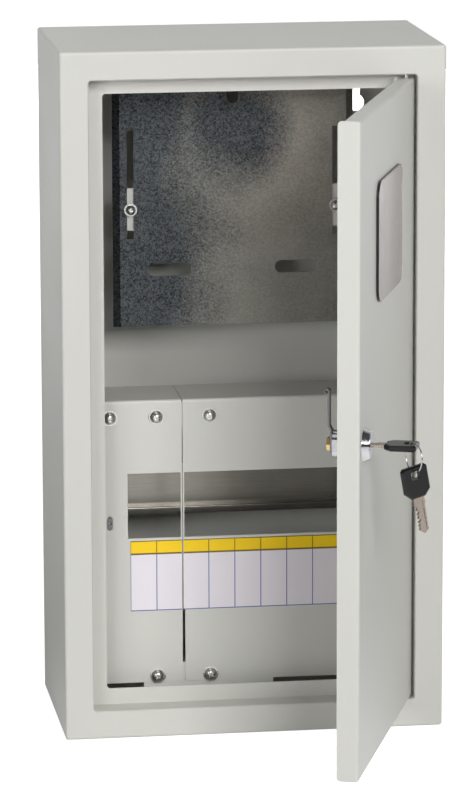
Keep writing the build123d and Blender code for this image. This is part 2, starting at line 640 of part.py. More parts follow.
# Meter panel: zinc-coated sheet, its side edges folded back a little
FLAT_HALF = PANEL_WIDTH / 2 - PANEL_EDGE
edge_back = PANEL_EDGE * sin(radians(PANEL_EDGE_BEND))
edge_out = PANEL_EDGE * cos(radians(PANEL_EDGE_BEND))
panel_front_y = PANEL_DEPTH - BOX_DEPTH
with BuildPart() as meter_panel:
    with BuildSketch(Plane.XY.offset(PANEL_BOTTOM)):
        with BuildLine():
            Polyline(
                (-FLAT_HALF - edge_out, panel_front_y + edge_back),
                (-FLAT_HALF, panel_front_y),
                (FLAT_HALF, panel_front_y),
                (FLAT_HALF + edge_out, panel_front_y + edge_back),
                (FLAT_HALF + edge_out, panel_front_y + edge_back + PANEL_SHEET),
                (FLAT_HALF, panel_front_y + PANEL_SHEET),
                (-FLAT_HALF, panel_front_y + PANEL_SHEET),
                (-FLAT_HALF - edge_out, panel_front_y + edge_back + PANEL_SHEET),
                close=True,
            )
        make_face()
    extrude(amount=PANEL_TOP - PANEL_BOTTOM)
    slot_z, slot_run = span(PANEL_SLOT_BOTTOM, PANEL_SLOT_TOP)
    hang_z, hang_run = span(HANG_SLOT_BOTTOM, HANG_SLOT_TOP)
    with BuildSketch(face(PANEL_DEPTH)):
        with Locations((-PANEL_SLOT_SPACING / 2, slot_z), (PANEL_SLOT_SPACING / 2, slot_z)):
            Rectangle(PANEL_SLOT_WIDTH, slot_run)
        with Locations((-METER_SLOT_SPACING / 2, METER_SLOT_Z), (METER_SLOT_SPACING / 2, METER_SLOT_Z)):
            SlotOverall(METER_SLOT_LENGTH, METER_SLOT_WIDTH)
        with Locations((0, hang_z)):
            SlotOverall(hang_run, HANG_SLOT_WIDTH, rotation=90)
    extrude(amount=-PANEL_SHEET, mode=Mode.SUBTRACT)

meter_panel.part.label = "meter_panel"
export_step(meter_panel.part, "parts/meter_panel.step")


def z_bracket(inner_x, outer_x, foot_x, front_depth):
    """A bent strip seen from above: a front flange, a web back at inner_x, and a foot on the wall."""
    turn = 1 if foot_x > inner_x else -1
    front_y = front_depth - BOX_DEPTH
    wall_y = WALL_DEPTH - BOX_DEPTH
    Polyline(
        (outer_x, front_y),
        (inner_x, front_y),
        (inner_x, wall_y - BRACKET_SHEET),
        (foot_x, wall_y - BRACKET_SHEET),
        (foot_x, wall_y),
        (inner_x - turn * BRACKET_SHEET, wall_y),
        (inner_x - turn * BRACKET_SHEET, front_y + BRACKET_SHEET),
        (outer_x, front_y + BRACKET_SHEET),
        close=True,
    )


# Panel brackets: behind the panel's slots, with a tapped hole each
PANEL_SCREW_X = PANEL_SLOT_SPACING / 2
for side, bracket_name in ((-1, "panel_bracket_left"), (1, "panel_bracket_right")):
    flange_outer = side * (PANEL_SCREW_X + PANEL_BRACKET_WIDTH / 2)
    flange_inner = side * (PANEL_SCREW_X - PANEL_BRACKET_WIDTH / 2)
    flange_foot = flange_inner - side * PANEL_BRACKET_FOOT
    with BuildPart() as panel_bracket:
        with BuildSketch(Plane.XY.offset(PANEL_BRACKET_Z - PANEL_BRACKET_HEIGHT / 2)):
            with BuildLine():
                z_bracket(flange_inner, flange_outer, flange_foot, PANEL_BACK)
            make_face()
        extrude(amount=PANEL_BRACKET_HEIGHT)
        with BuildSketch(face(PANEL_BACK)):
            with Locations((side * PANEL_SCREW_X, PANEL_BRACKET_Z)):
                Circle(PANEL_SCREW_RADIUS + THREAD_FIT)
        extrude(amount=-BRACKET_SHEET, mode=Mode.SUBTRACT)
    panel_bracket.part.label = bracket_name
    export_step(panel_bracket.part, f"parts/{bracket_name}.step")

panel_screw_places = [(-PANEL_SCREW_X, PANEL_BRACKET_Z), (PANEL_SCREW_X, PANEL_BRACKET_Z)]
with BuildPart() as panel_washers:
    with BuildSketch(face(PANEL_DEPTH - PANEL_PLAY)):
        with Locations(*panel_screw_places):
            Circle(PANEL_WASHER_RADIUS)
            Circle(PANEL_SCREW_RADIUS + THREAD_FIT, mode=Mode.SUBTRACT)
    extrude(amount=PANEL_WASHER)

panel_washers.part.label = "panel_washers"
export_step(panel_washers.part, "parts/panel_washers.step")

HEAD_DEPTH = PANEL_DEPTH - PANEL_PLAY - PANEL_WASHER
with BuildPart() as panel_screws:
    with BuildSketch(face(HEAD_DEPTH)):
        with Locations(*panel_screw_places):
            Circle(PANEL_SCREW_HEAD_RADIUS)
    extrude(amount=PANEL_SCREW_HEAD)
    chamfer(panel_screws.edges().filter_by(GeomType.CIRCLE).group_by(Axis.Y)[0], PANEL_SCREW_HEAD / 2)
    with BuildSketch(face(HEAD_DEPTH - PANEL_SCREW_HEAD)):
        with Locations(*panel_screw_places):
            Rectangle(PANEL_SCREW_HEAD_RADIUS, SCREW_CROSS_WIDTH, rotation=PANEL_SCREW_TURN)
            Rectangle(SCREW_CROSS_WIDTH, PANEL_SCREW_HEAD_RADIUS, rotation=PANEL_SCREW_TURN)
    extrude(amount=-SCREW_CROSS_DEPTH, mode=Mode.SUBTRACT)
    with BuildSketch(face(HEAD_DEPTH)):
        with Locations(*panel_screw_places):
            Circle(PANEL_SCREW_RADIUS)
    extrude(amount=HEAD_DEPTH - PANEL_BACK - 2 * BRACKET_SHEET)

panel_screws.part.label = "panel_screws"
export_step(panel_screws.part, "parts/panel_screws.step")

# Mounting rail for the breakers: a top-hat section
RAIL_INNER = RAIL_CHANNEL / 2 - RAIL_SHEET
RAIL_SCREW_X = RAIL_LENGTH / 2 - RAIL_SCREW_INSET
rail_front_y = RAIL_DEPTH - BOX_DEPTH
rail_back_y = RAIL_BACK - BOX_DEPTH
with BuildPart() as din_rail:
    with BuildSketch(Plane.YZ.offset(-RAIL_LENGTH / 2)):
        with BuildLine():
            Polyline(
                (rail_front_y, ROW_Z + RAIL_HEIGHT / 2),
                (rail_front_y, ROW_Z + RAIL_INNER),
                (rail_back_y - RAIL_SHEET, ROW_Z + RAIL_INNER),
                (rail_back_y - RAIL_SHEET, ROW_Z - RAIL_INNER),
                (rail_front_y, ROW_Z - RAIL_INNER),
                (rail_front_y, ROW_Z - RAIL_HEIGHT / 2),
                (rail_front_y + RAIL_SHEET, ROW_Z - RAIL_HEIGHT / 2),
                (rail_front_y + RAIL_SHEET, ROW_Z - RAIL_CHANNEL / 2),
                (rail_back_y, ROW_Z - RAIL_CHANNEL / 2),
                (rail_back_y, ROW_Z + RAIL_CHANNEL / 2),
                (rail_front_y + RAIL_SHEET, ROW_Z + RAIL_CHANNEL / 2),
                (rail_front_y + RAIL_SHEET, ROW_Z + RAIL_HEIGHT / 2),
                close=True,
            )
        make_face()
    extrude(amount=RAIL_LENGTH)
    rail_edges = din_rail.edges().filter_by(Axis.X).group_by(Axis.Y)
    fillet(rail_edges[0].sort_by(Axis.Z)[1:3] + rail_edges[-1], RAIL_BEND)
    with BuildSketch(face(RAIL_BACK)):
        with Locations((-RAIL_SCREW_X, ROW_Z), (RAIL_SCREW_X, ROW_Z)):
            Circle(RAIL_SCREW_RADIUS + THREAD_FIT)
    extrude(amount=RAIL_SHEET, mode=Mode.SUBTRACT)

din_rail.part.label = "din_rail"
export_step(din_rail.part, "parts/din_rail.step")

for side, bracket_name in ((-1, "rail_bracket_left"), (1, "rail_bracket_right")):
    flange_inner = side * (RAIL_LENGTH / 2 - RAIL_BRACKET_INSET)
    flange_outer = flange_inner + side * RAIL_BRACKET_WIDTH
    flange_foot = flange_inner - side * RAIL_BRACKET_FOOT
    with BuildPart() as rail_bracket:
        with BuildSketch(Plane.XY.offset(ROW_Z - RAIL_BRACKET_HEIGHT / 2)):
            with BuildLine():
                z_bracket(flange_inner, flange_outer, flange_foot, RAIL_BACK)
            make_face()
        extrude(amount=RAIL_BRACKET_HEIGHT)
        with BuildSketch(face(RAIL_BACK)):
            with Locations((side * RAIL_SCREW_X, ROW_Z)):
                Circle(RAIL_SCREW_RADIUS + THREAD_FIT)
        extrude(amount=-BRACKET_SHEET, mode=Mode.SUBTRACT)
    rail_bracket.part.label = bracket_name
    export_step(rail_bracket.part, f"parts/{bracket_name}.step")

with BuildPart() as rail_screws:
    with BuildSketch(face(RAIL_BACK - RAIL_SHEET)):
        with Locations((-RAIL_SCREW_X, ROW_Z), (RAIL_SCREW_X, ROW_Z)):
            Circle(RAIL_SCREW_HEAD_RADIUS)
    extrude(amount=RAIL_SCREW_HEAD)
    chamfer(rail_screws.edges().filter_by(GeomType.CIRCLE).group_by(Axis.Y)[0], RAIL_SCREW_HEAD / 2)
    with BuildSketch(face(RAIL_BACK - RAIL_SHEET)):
        with Locations((-RAIL_SCREW_X, ROW_Z), (RAIL_SCREW_X, ROW_Z)):
            Circle(RAIL_SCREW_RADIUS)
    extrude(amount=-(RAIL_SHEET + 2 * BRACKET_SHEET))

rail_screws.part.label = "rail_screws"
export_step(rail_screws.part, "parts/rail_screws.step")

# Cover supports: two uprights from the back wall, a crossbar between them and an angle on the floor
UPRIGHT_OUTER = COVER_HALF_WIDTH - UPRIGHT_INSET
UPRIGHT_INNER = UPRIGHT_OUTER - UPRIGHT_WIDTH
cover_back_y = COVER_BACK - BOX_DEPTH
for side, upright_name in ((-1, "cover_upright_left"), (1, "cover_upright_right")):
    with BuildPart() as cover_upright:
        with BuildSketch(Plane.XY.offset(UPRIGHT_BOTTOM)):
            with BuildLine():
                z_bracket(
                    side * UPRIGHT_OUTER,
                    side * UPRIGHT_INNER,
                    side * (UPRIGHT_OUTER + UPRIGHT_FOOT),
                    COVER_BACK,
                )
            make_face()
        extrude(amount=UPRIGHT_TOP - UPRIGHT_BOTTOM)
        with BuildSketch(face(COVER_BACK)):
            with Locations((side * SCREW_SIDE_X, SCREW_TOP_Z)):
                Circle(COVER_SCREW_RADIUS + THREAD_FIT)
        extrude(amount=-BRACKET_SHEET, mode=Mode.SUBTRACT)
    cover_upright.part.label = upright_name
    export_step(cover_upright.part, f"parts/{upright_name}.step")

with BuildPart() as cover_crossbar:
    with BuildSketch(Plane.YZ.offset(-UPRIGHT_INNER)):
        with BuildLine():
            Polyline(
                (cover_back_y, UPRIGHT_TOP - CROSSBAR_HEIGHT),
                (cover_back_y, UPRIGHT_TOP),
                (cover_back_y + CROSSBAR_SHELF, UPRIGHT_TOP),
                (cover_back_y + CROSSBAR_SHELF, UPRIGHT_TOP - BRACKET_SHEET),
                (cover_back_y + BRACKET_SHEET, UPRIGHT_TOP - BRACKET_SHEET),
                (cover_back_y + BRACKET_SHEET, UPRIGHT_TOP - CROSSBAR_HEIGHT),
                close=True,
            )
        make_face()
    extrude(amount=2 * UPRIGHT_INNER)
    with BuildSketch(face(COVER_BACK)):
        with Locations((SCREW_MID_X, SCREW_TOP_Z), (SCREW_NEAR_X, SCREW_TOP_Z)):
            Circle(COVER_SCREW_RADIUS + THREAD_FIT)
    extrude(amount=-BRACKET_SHEET, mode=Mode.SUBTRACT)

cover_crossbar.part.label = "cover_crossbar"
export_step(cover_crossbar.part, "parts/cover_crossbar.step")

FLOOR_Z = SHEET - BOX_HEIGHT / 2
with BuildPart() as floor_bracket:
    with BuildSketch(Plane.YZ.offset(FLOOR_BRACKET_LEFT)):
        with BuildLine():
            Polyline(
                (cover_back_y, FLOOR_Z),
                (cover_back_y, FLOOR_BRACKET_TOP),
                (cover_back_y + BRACKET_SHEET, FLOOR_BRACKET_TOP),
                (cover_back_y + BRACKET_SHEET, FLOOR_Z + BRACKET_SHEET),
                (cover_back_y + FLOOR_BRACKET_FOOT, FLOOR_Z + BRACKET_SHEET),
                (cover_back_y + FLOOR_BRACKET_FOOT, FLOOR_Z),
                close=True,
            )
        make_face()
    extrude(amount=FLOOR_BRACKET_RIGHT - FLOOR_BRACKET_LEFT)
    with BuildSketch(face(COVER_BACK)):
        with Locations((SCREW_MID_X, SCREW_BOTTOM_Z), (SCREW_NEAR_X, SCREW_BOTTOM_Z)):
            Circle(COVER_SCREW_RADIUS + THREAD_FIT)
    extrude(amount=-BRACKET_SHEET, mode=Mode.SUBTRACT)

floor_bracket.part.label = "floor_bracket"
export_step(floor_bracket.part, "parts/floor_bracket.step")

with BuildPart() as sealing_lug:
    with BuildSketch(face(COVER_BACK)):
        with Locations((SEAL_SLOT_X, SEAL_SLOT_Z)):
            SlotOverall(LUG_HEIGHT, LUG_WIDTH, rotation=90)
        with Locations((SEAL_SLOT_X + LUG_HOLE_OFFSET, SEAL_SLOT_Z)):
            Circle(LUG_HOLE_RADIUS, mode=Mode.SUBTRACT)
    extrude(amount=COVER_SHEET + LUG_PROUD)

sealing_lug.part.label = "sealing_lug"
export_step(sealing_lug.part, "parts/sealing_lug.step")

# Cover plates: two folded plates side by side, each with a cut-out for its breakers and a label under it
LEFT_EDGE = COVER_SPLIT - COVER_GAP / 2
RIGHT_EDGE = COVER_SPLIT + COVER_GAP / 2
LEFT_CUTOUT = LEFT_MODULES * MODULE + CUTOUT_PLAY
RIGHT_CUTOUT = RIGHT_MODULES * MODULE + CUTOUT_PLAY
SCREW_HOLE = COVER_SCREW_RADIUS + COVER_SCREW_CLEARANCE
cover_front_y = COVER_DEPTH - BOX_DEPTH


def cover_section():
    """The plate seen from the side: the front sheet and the flange that goes back from its top."""
    Polyline(
        (cover_front_y, COVER_BOTTOM),
        (cover_front_y, COVER_TOP),
        (cover_front_y + COVER_FLANGE, COVER_TOP),
        (cover_front_y + COVER_FLANGE, COVER_TOP - COVER_SHEET),
        (cover_back_y, COVER_TOP - COVER_SHEET),
        (cover_back_y, COVER_BOTTOM),
        close=True,
    )


with BuildPart() as cover_plate_left:
    with BuildSketch(Plane.YZ.offset(-COVER_HALF_WIDTH)):
        with BuildLine():
            cover_section()
        make_face()
    extrude(amount=LEFT_EDGE + COVER_HALF_WIDTH)
    bend_edges = cover_plate_left.edges().filter_by(Axis.X).group_by(Axis.Z)
    fillet(bend_edges[-1].sort_by(Axis.Y)[0], COVER_BEND)
    fillet(bend_edges[-2].sort_by(Axis.Y)[0], COVER_BEND - COVER_SHEET)
    with BuildSketch(face(COVER_DEPTH)):
        with Locations((LEFT_EDGE - COVER_STRIP - LEFT_CUTOUT / 2, ROW_Z)):
            Rectangle(LEFT_CUTOUT, CUTOUT_HEIGHT)
        with Locations((SEAL_SLOT_X, SEAL_SLOT_Z)):
            SlotOverall(SEAL_SLOT_HEIGHT, SEAL_SLOT_WIDTH, rotation=90)
        with Locations((-SCREW_SIDE_X, SCREW_TOP_Z), (SCREW_MID_X, SCREW_BOTTOM_Z)):
            Circle(SCREW_HOLE)
        with Locations((SCREW_MID_X - COVER_SLOT_RUN / 2, SCREW_TOP_Z)):
            SlotCenterToCenter(COVER_SLOT_RUN, 2 * SCREW_HOLE)
    extrude(amount=-COVER_SHEET, mode=Mode.SUBTRACT)

cover_plate_left.part.label = "cover_plate_left"
export_step(cover_plate_left.part, "parts/cover_plate_left.step")

RELIEF_TOP = LABEL_TOP - LABEL_HEIGHT
with BuildPart() as cover_plate_right:
    with BuildSketch(Plane.YZ.offset(RIGHT_EDGE)):
        with BuildLine():
            cover_section()
        make_face()
    extrude(amount=COVER_HALF_WIDTH - RIGHT_EDGE)
    bend_edges = cover_plate_right.edges().filter_by(Axis.X).group_by(Axis.Z)
    fillet(bend_edges[-1].sort_by(Axis.Y)[0], COVER_BEND)
    fillet(bend_edges[-2].sort_by(Axis.Y)[0], COVER_BEND - COVER_SHEET)
    relief_z, relief_run = span(COVER_BOTTOM, RELIEF_TOP)
    with BuildSketch(face(COVER_DEPTH)):
        with Locations((RIGHT_EDGE + COVER_STRIP + RIGHT_CUTOUT / 2, ROW_Z)):
            Rectangle(RIGHT_CUTOUT, CUTOUT_HEIGHT)
        with Locations((SCREW_SIDE_X, SCREW_TOP_Z)):
            Circle(SCREW_HOLE)
        with Locations((SCREW_NEAR_X, SCREW_TOP_Z), (SCREW_NEAR_X, SCREW_BOTTOM_Z)):
            Circle(SCREW_HOLE)
        with Locations((RIGHT_EDGE + RELIEF_WIDTH / 2, relief_z)):
            Rectangle(RELIEF_WIDTH, relief_run)
    extrude(amount=-COVER_SHEET, mode=Mode.SUBTRACT)

cover_plate_right.part.label = "cover_plate_right"
export_step(cover_plate_right.part, "parts/cover_plate_right.step")

label_spans = (
    ("label_left", COVER_SPLIT - LEFT_MODULES * MODULE, LEFT_EDGE - LABEL_INSET),
    ("label_right", RIGHT_EDGE + LABEL_INSET, COVER_SPLIT + RIGHT_MODULES * MODULE),
)
for label_name, label_start, label_end in label_spans:
    label_x, label_run = span(label_start, label_end)
    with BuildPart() as label:
        with BuildSketch(face(COVER_DEPTH)):
            with Locations((label_x, LABEL_TOP - LABEL_HEIGHT / 2)):
                Rectangle(label_run, LABEL_HEIGHT)
        extrude(amount=LABEL_THICKNESS)
    label.part.label = label_name
    export_step(label.part, f"parts/{label_name}.step")

# Cover screws: six alike, with a flange under a domed head and a cross in it
cover_screw_places = (
    (-SCREW_SIDE_X, SCREW_TOP_Z),
    (SCREW_MID_X, SCREW_TOP_Z),
    (SCREW_NEAR_X, SCREW_TOP_Z),
    (SCREW_SIDE_X, SCREW_TOP_Z),
    (SCREW_MID_X, SCREW_BOTTOM_Z),
    (SCREW_NEAR_X, SCREW_BOTTOM_Z),
)
with BuildPart() as cover_screws:
    with BuildSketch(face(COVER_DEPTH - COVER_SCREW_FLANGE)):
        with Locations(*cover_screw_places):
            Circle(COVER_SCREW_DOME_RADIUS)
    extrude(amount=COVER_SCREW_HEAD - COVER_SCREW_FLANGE, taper=COVER_SCREW_DOME_TAPER)
    with BuildSketch(face(COVER_DEPTH)):
        with Locations(*cover_screw_places):
            Circle(COVER_SCREW_HEAD_RADIUS)
    extrude(amount=COVER_SCREW_FLANGE)
    with BuildSketch(face(COVER_DEPTH)):
        with Locations(*cover_screw_places):
            Circle(COVER_SCREW_RADIUS)
    extrude(amount=-COVER_SCREW_LENGTH)
    with BuildSketch(face(COVER_DEPTH - COVER_SCREW_HEAD)):
        with Locations(*cover_screw_places):
            Rectangle(COVER_SCREW_CROSS, SCREW_CROSS_WIDTH, rotation=COVER_SCREW_TURN)
            Rectangle(SCREW_CROSS_WIDTH, COVER_SCREW_CROSS, rotation=COVER_SCREW_TURN)
    extrude(amount=-SCREW_CROSS_DEPTH, mode=Mode.SUBTRACT)

cover_screws.part.label = "cover_screws"
export_step(cover_screws.part, "parts/cover_screws.step")

# Earth stud on the back wall
with BuildPart() as earth_stud:
    with BuildSketch(face(WALL_DEPTH)):
        with Locations((EARTH_X, EARTH_Z)):
            Circle(EARTH_RADIUS)
    extrude(amount=EARTH_LENGTH)
    chamfer(earth_stud.edges().group_by(Axis.Y)[0], EARTH_EDGE)

earth_stud.part.label = "earth_stud"
export_step(earth_stud.part, "parts/earth_stud.step")

with BuildPart() as earth_washer:
    with BuildSketch(face(WALL_DEPTH)):
        with Locations((EARTH_X, EARTH_Z)):
            Circle(EARTH_WASHER_RADIUS)
            Circle(EARTH_RADIUS + THREAD_FIT, mode=Mode.SUBTRACT)
    extrude(amount=EARTH_WASHER)

earth_washer.part.label = "earth_washer"
export_step(earth_washer.part, "parts/earth_washer.step")

with BuildPart() as earth_nut:
    with BuildSketch(face(WALL_DEPTH - EARTH_WASHER)):
        with Locations((EARTH_X, EARTH_Z)):
            RegularPolygon(EARTH_NUT_FLATS / 2, HEX_SIDES, major_radius=False)
            Circle(EARTH_RADIUS + THREAD_FIT, mode=Mode.SUBTRACT)
    extrude(amount=EARTH_NUT)

earth_nut.part.label = "earth_nut"
export_step(earth_nut.part, "parts/earth_nut.step")
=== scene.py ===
from math import cos, radians, sin

import bpy
from mathutils import Matrix, Vector


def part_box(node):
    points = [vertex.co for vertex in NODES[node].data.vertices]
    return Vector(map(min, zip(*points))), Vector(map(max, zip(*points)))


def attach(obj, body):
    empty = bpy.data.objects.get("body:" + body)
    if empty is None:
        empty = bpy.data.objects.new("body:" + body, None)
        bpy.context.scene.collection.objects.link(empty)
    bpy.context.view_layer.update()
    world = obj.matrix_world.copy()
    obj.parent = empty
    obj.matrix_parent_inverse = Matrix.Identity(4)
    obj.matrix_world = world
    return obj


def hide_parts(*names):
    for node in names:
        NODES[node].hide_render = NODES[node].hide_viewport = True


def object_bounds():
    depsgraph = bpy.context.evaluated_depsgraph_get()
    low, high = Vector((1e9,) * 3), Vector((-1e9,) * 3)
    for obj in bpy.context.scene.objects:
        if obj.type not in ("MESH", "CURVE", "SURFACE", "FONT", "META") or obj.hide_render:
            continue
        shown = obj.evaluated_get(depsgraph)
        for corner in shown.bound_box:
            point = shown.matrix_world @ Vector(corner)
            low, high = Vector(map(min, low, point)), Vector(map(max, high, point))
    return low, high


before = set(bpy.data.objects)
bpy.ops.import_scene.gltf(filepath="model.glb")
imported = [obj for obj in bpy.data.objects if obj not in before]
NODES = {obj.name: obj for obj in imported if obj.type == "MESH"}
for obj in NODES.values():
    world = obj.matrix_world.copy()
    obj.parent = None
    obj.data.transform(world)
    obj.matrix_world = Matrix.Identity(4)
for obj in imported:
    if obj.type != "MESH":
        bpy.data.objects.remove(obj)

bl_info = {
    "name": "Electrical enclosure",
    "version": (1, 0, 0),
    "blender": (4, 5, 0),
    "location": "3D View > Sidebar > Enclosure",
    "description": "Finishes, small pieces and studio for a sheet-steel electrical enclosure",
    "category": "Object",
}

CAD_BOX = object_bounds()
LABEL_LOW, LABEL_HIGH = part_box("label_left")
LABEL_RIGHT_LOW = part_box("label_right")[0]
SPLIT_X = (LABEL_HIGH.x + LABEL_RIGHT_LOW.x) / 2

# The band that a noise's values mostly fall in, and how squarely a sheet faces: walls to flat
NOISE_LOW, NOISE_HIGH = 0.3, 0.7
FACING_LOW, FACING_HIGH = 0.3, 0.9

# Galvanised panel: the way along which a painted reflection of the door turns it brownish grey and its
# crystals grow smoother, and the darker patch near its top, where that painted reflection is held back
REFLECTION_AND_SMOOTH_TOWARD = (26.0, 0.0, -1.5)
REFLECTION_FROM, REFLECTION_TO = -1.35, -0.1
DARK_PATCH = (0.022, 0.0, 0.165)
DARK_CORE, DARK_RIM = 0.012, 0.055
DARK_DEPTH = 1.6
ACROSS_SHEET = (1.0, 0.0, 1.0)

# Rail: its drawing marks are long in X and fine across
DRAWN_ALONG = (40.0, 1500.0, 1500.0)

# The way that the open door's outer side faces
DOOR_OUTWARD = (0.9438, -0.3305, 0.0)

# Places of the screws along X and Z, and their sizes, in metres and degrees
COVER_SCREWS = (
    (-0.0942, -0.0200),
    (-0.0622, -0.0200),
    (-0.0256, -0.0200),
    (0.0942, -0.0200),
    (-0.0622, -0.2017),
    (-0.0256, -0.2017),
)
PANEL_SCREWS = ((-0.0714, 0.1128), (0.0714, 0.1128))
COVER_SCREW = {
    "rim": 0.0053, "flange": 0.0008, "dome": 0.0044, "cross": 0.0036, "slot_width": 0.0011,
    "turn": 45, "shank": 0.0024, "shank_length": 0.008,
}
PANEL_SCREW = {
    "rim": 0.0036, "flange": 0.0006, "dome": 0.0034, "cross": 0.0034, "slot_width": 0.0010,
    "turn": 20, "shank": 0.002, "shank_length": 0.0056,
}
DOME_STEPS = (0.93, 0.84, 0.73, 0.6, 0.45, 0.3)
HEAD_SIDES = 40
SHANK_SIDES = 24
SHANK_EASE = 0.25
SCREW_CREASE = radians(38)

# Split ring: width of its flat wire, thickness of one coil, degrees wound, and its axis
RING_WIRE = 0.0013
RING_COIL = 0.00042
RING_WOUND = 712
RING_AXIS = (-0.9354, -0.3535, 0.0)
RING_SIDES = 12
RING_STEPS = 144
RING_CREASE = radians(50)

# Floor: its size, its gap under the box, its brightness near by (to the camera) and behind
# (to gloss), and the metres over which each of these changes
FLOOR_SIZE = 40
FLOOR_GAP = 0.0005
FLOOR_NEAR = 0.90
FLOOR_BEHIND = 0.11
FLOOR_WHITENS = (0.3, 2.0)
FLOOR_DIMS = (0.7, 1.9)
FLOOR_BRIGHTENS = (0.2, 2.0)
FLOOR_TURNS = (-0.3, 0.1)

# Room: its brightness in front (to gloss), and the part of the round over which it turns white
ROOM_FRONT = 0.10
ROOM_TURNS = (0.1, 0.6)

# Camera: sensor in millimetres, and the metres between which it sees
CAMERA_SENSOR = 36
CAMERA_CLIP = (0.05, 60)

PAINTED = (
    "cabinet_shell",
    "door",
    "panel_bracket_left",
    "panel_bracket_right",
    "rail_bracket_left",
    "rail_bracket_right",
    "cover_plate_left",
    "cover_plate_right",
    "cover_upright_left",
    "cover_upright_right",
    "cover_crossbar",
    "floor_bracket",
)
ZINC_PLATED = (
    "panel_washers",
    "panel_screws",
    "rail_screws",
    "cover_screws",
    "hinge_pin_upper",
    "hinge_pin_lower",
    "pane_clips",
    "earth_stud",
    "earth_washer",
)
# The cam and lock nut are dark steel; the sealing lug gets the same dark colour as painted shade, so its
# slot shows dark
DARK_STEEL_AND_SLOT_SHADE = ("lock_cam", "lock_nut", "sealing_lug")
CHROMED = ("lock_housing", "lock_plug", "key_ring")
NICKEL = ("key_blade", "spare_key_blade")
BRASS = ("cam_nut", "earth_nut")
MOULDED = ("key_head", "spare_key_head")
LABELS = ("label_left", "label_right")


class EnclosureFinish(bpy.types.PropertyGroup):
    """Colours and grain of the enclosure's finishes."""

    paint: bpy.props.FloatVectorProperty(
        name="Paint", description="Powder coat of the cabinet, door and covers",
        subtype="COLOR", size=3, min=0, max=1, default=(0.600, 0.597, 0.560),
    )
    paint_roughness: bpy.props.FloatProperty(
        name="Paint roughness", description="How dull the powder coat is", default=0.42, min=0, max=1,
    )
    paint_grain: bpy.props.FloatProperty(
        name="Paint grain", description="Size of the powder coat's orange peel",
        default=0.0016, min=0.0002, unit="LENGTH",
    )
    # Darker than bare zinc: a painted dark reflection of the room in front
    zinc: bpy.props.FloatVectorProperty(
        name="Galvanised sheet", description="Middle colour of the galvanised panel",
        subtype="COLOR", size=3, min=0, max=1, default=(0.058, 0.064, 0.068),
    )
    # Painted reflection of the door's inner side, which the panel turns to toward its right
    zinc_door_reflection: bpy.props.FloatVectorProperty(
        name="Galvanised sheet, painted door reflection", description="Colour that the galvanised panel drifts to",
        subtype="COLOR", size=3, min=0, max=1, default=(0.250, 0.244, 0.218),
    )
    # Paler folds and cut steel edges: partly bare steel, partly a painted highlight
    cut_edge_and_highlight: bpy.props.FloatVectorProperty(
        name="Cut edge and painted highlight", description="Folds and cut edges of the galvanised panel",
        subtype="COLOR", size=3, min=0, max=1, default=(0.70, 0.70, 0.68),
    )
    spangle: bpy.props.FloatProperty(
        name="Spangle", description="Size of the zinc's crystals",
        default=0.0011, min=0.0002, unit="LENGTH",
    )
    rail_zinc: bpy.props.FloatVectorProperty(
        name="Rail", description="Rolled zinc-plated strip", subtype="COLOR", size=3, min=0, max=1,
        default=(0.225, 0.215, 0.190),
    )
    plated: bpy.props.FloatVectorProperty(
        name="Zinc plate", description="Screws, pins and clips", subtype="COLOR", size=3, min=0, max=1,
        default=(0.60, 0.60, 0.58),
    )
    # Also painted shade on the sealing lug, which darkens its slot
    dark_steel_and_slot_shade: bpy.props.FloatVectorProperty(
        name="Dark steel and painted slot shade", description="Cam, lock nut and sealing lug",
        subtype="COLOR", size=3, min=0, max=1,
        default=(0.14, 0.14, 0.14),
    )
    chrome: bpy.props.FloatVectorProperty(
        name="Chrome", description="Lock housing, plug and key ring", subtype="COLOR", size=3, min=0, max=1,
        default=(0.44, 0.44, 0.46),
    )
    nickel: bpy.props.FloatVectorProperty(
        name="Nickel", description="Key blades", subtype="COLOR", size=3, min=0, max=1,
        default=(0.34, 0.29, 0.25),
    )
    brass: bpy.props.FloatVectorProperty(
        name="Brass", description="Cam nut and earth nut", subtype="COLOR", size=3, min=0, max=1,
        default=(0.62, 0.44, 0.18),
    )
    key_black: bpy.props.FloatVectorProperty(
        name="Key heads", description="Moulded black plastic", subtype="COLOR", size=3, min=0, max=1,
        default=(0.006, 0.006, 0.007),
    )
    pane: bpy.props.FloatVectorProperty(
        name="Pane", description="Tint of the clear window", subtype="COLOR", size=3, min=0, max=1,
        default=(0.50, 0.40, 0.39),
    )
    pane_wall: bpy.props.FloatVectorProperty(
        name="Pane walls", description="Side walls of the window's raised field", subtype="COLOR",
        size=3, min=0, max=1, default=(0.03, 0.03, 0.03),
    )


class EnclosureLabel(bpy.types.PropertyGroup):
    """The ruled label strip under the breaker cut-outs."""

    cell: bpy.props.FloatProperty(
        name="Cell", description="Width of a cell, one module", default=0.018, min=0.001, unit="LENGTH",
    )
    band: bpy.props.FloatProperty(
        name="Band", description="Height of the coloured band", default=0.0092, min=0.001, unit="LENGTH",
    )
    rule: bpy.props.FloatProperty(
        name="Rule", description="Width of the ruled lines", default=0.0006, min=0.0001, unit="LENGTH",
    )
    paper: bpy.props.FloatVectorProperty(
        name="Paper", description="Colour of the cells", subtype="COLOR", size=3, min=0, max=1,
        default=(0.79, 0.75, 0.80),
    )
    band_colour: bpy.props.FloatVectorProperty(
        name="Band colour", description="Colour of the band", subtype="COLOR", size=3, min=0, max=1,
        default=(0.93, 0.62, 0.0),
    )
    rule_colour: bpy.props.FloatVectorProperty(
        name="Rule colour", description="Colour of the ruled lines", subtype="COLOR", size=3, min=0, max=1,
        default=(0.055, 0.08, 0.33),
    )
    band_rule: bpy.props.FloatVectorProperty(
        name="Band rule", description="Colour of the lines on the band",
        subtype="COLOR", size=3, min=0, max=1, default=(0.16, 0.10, 0.01),
    )


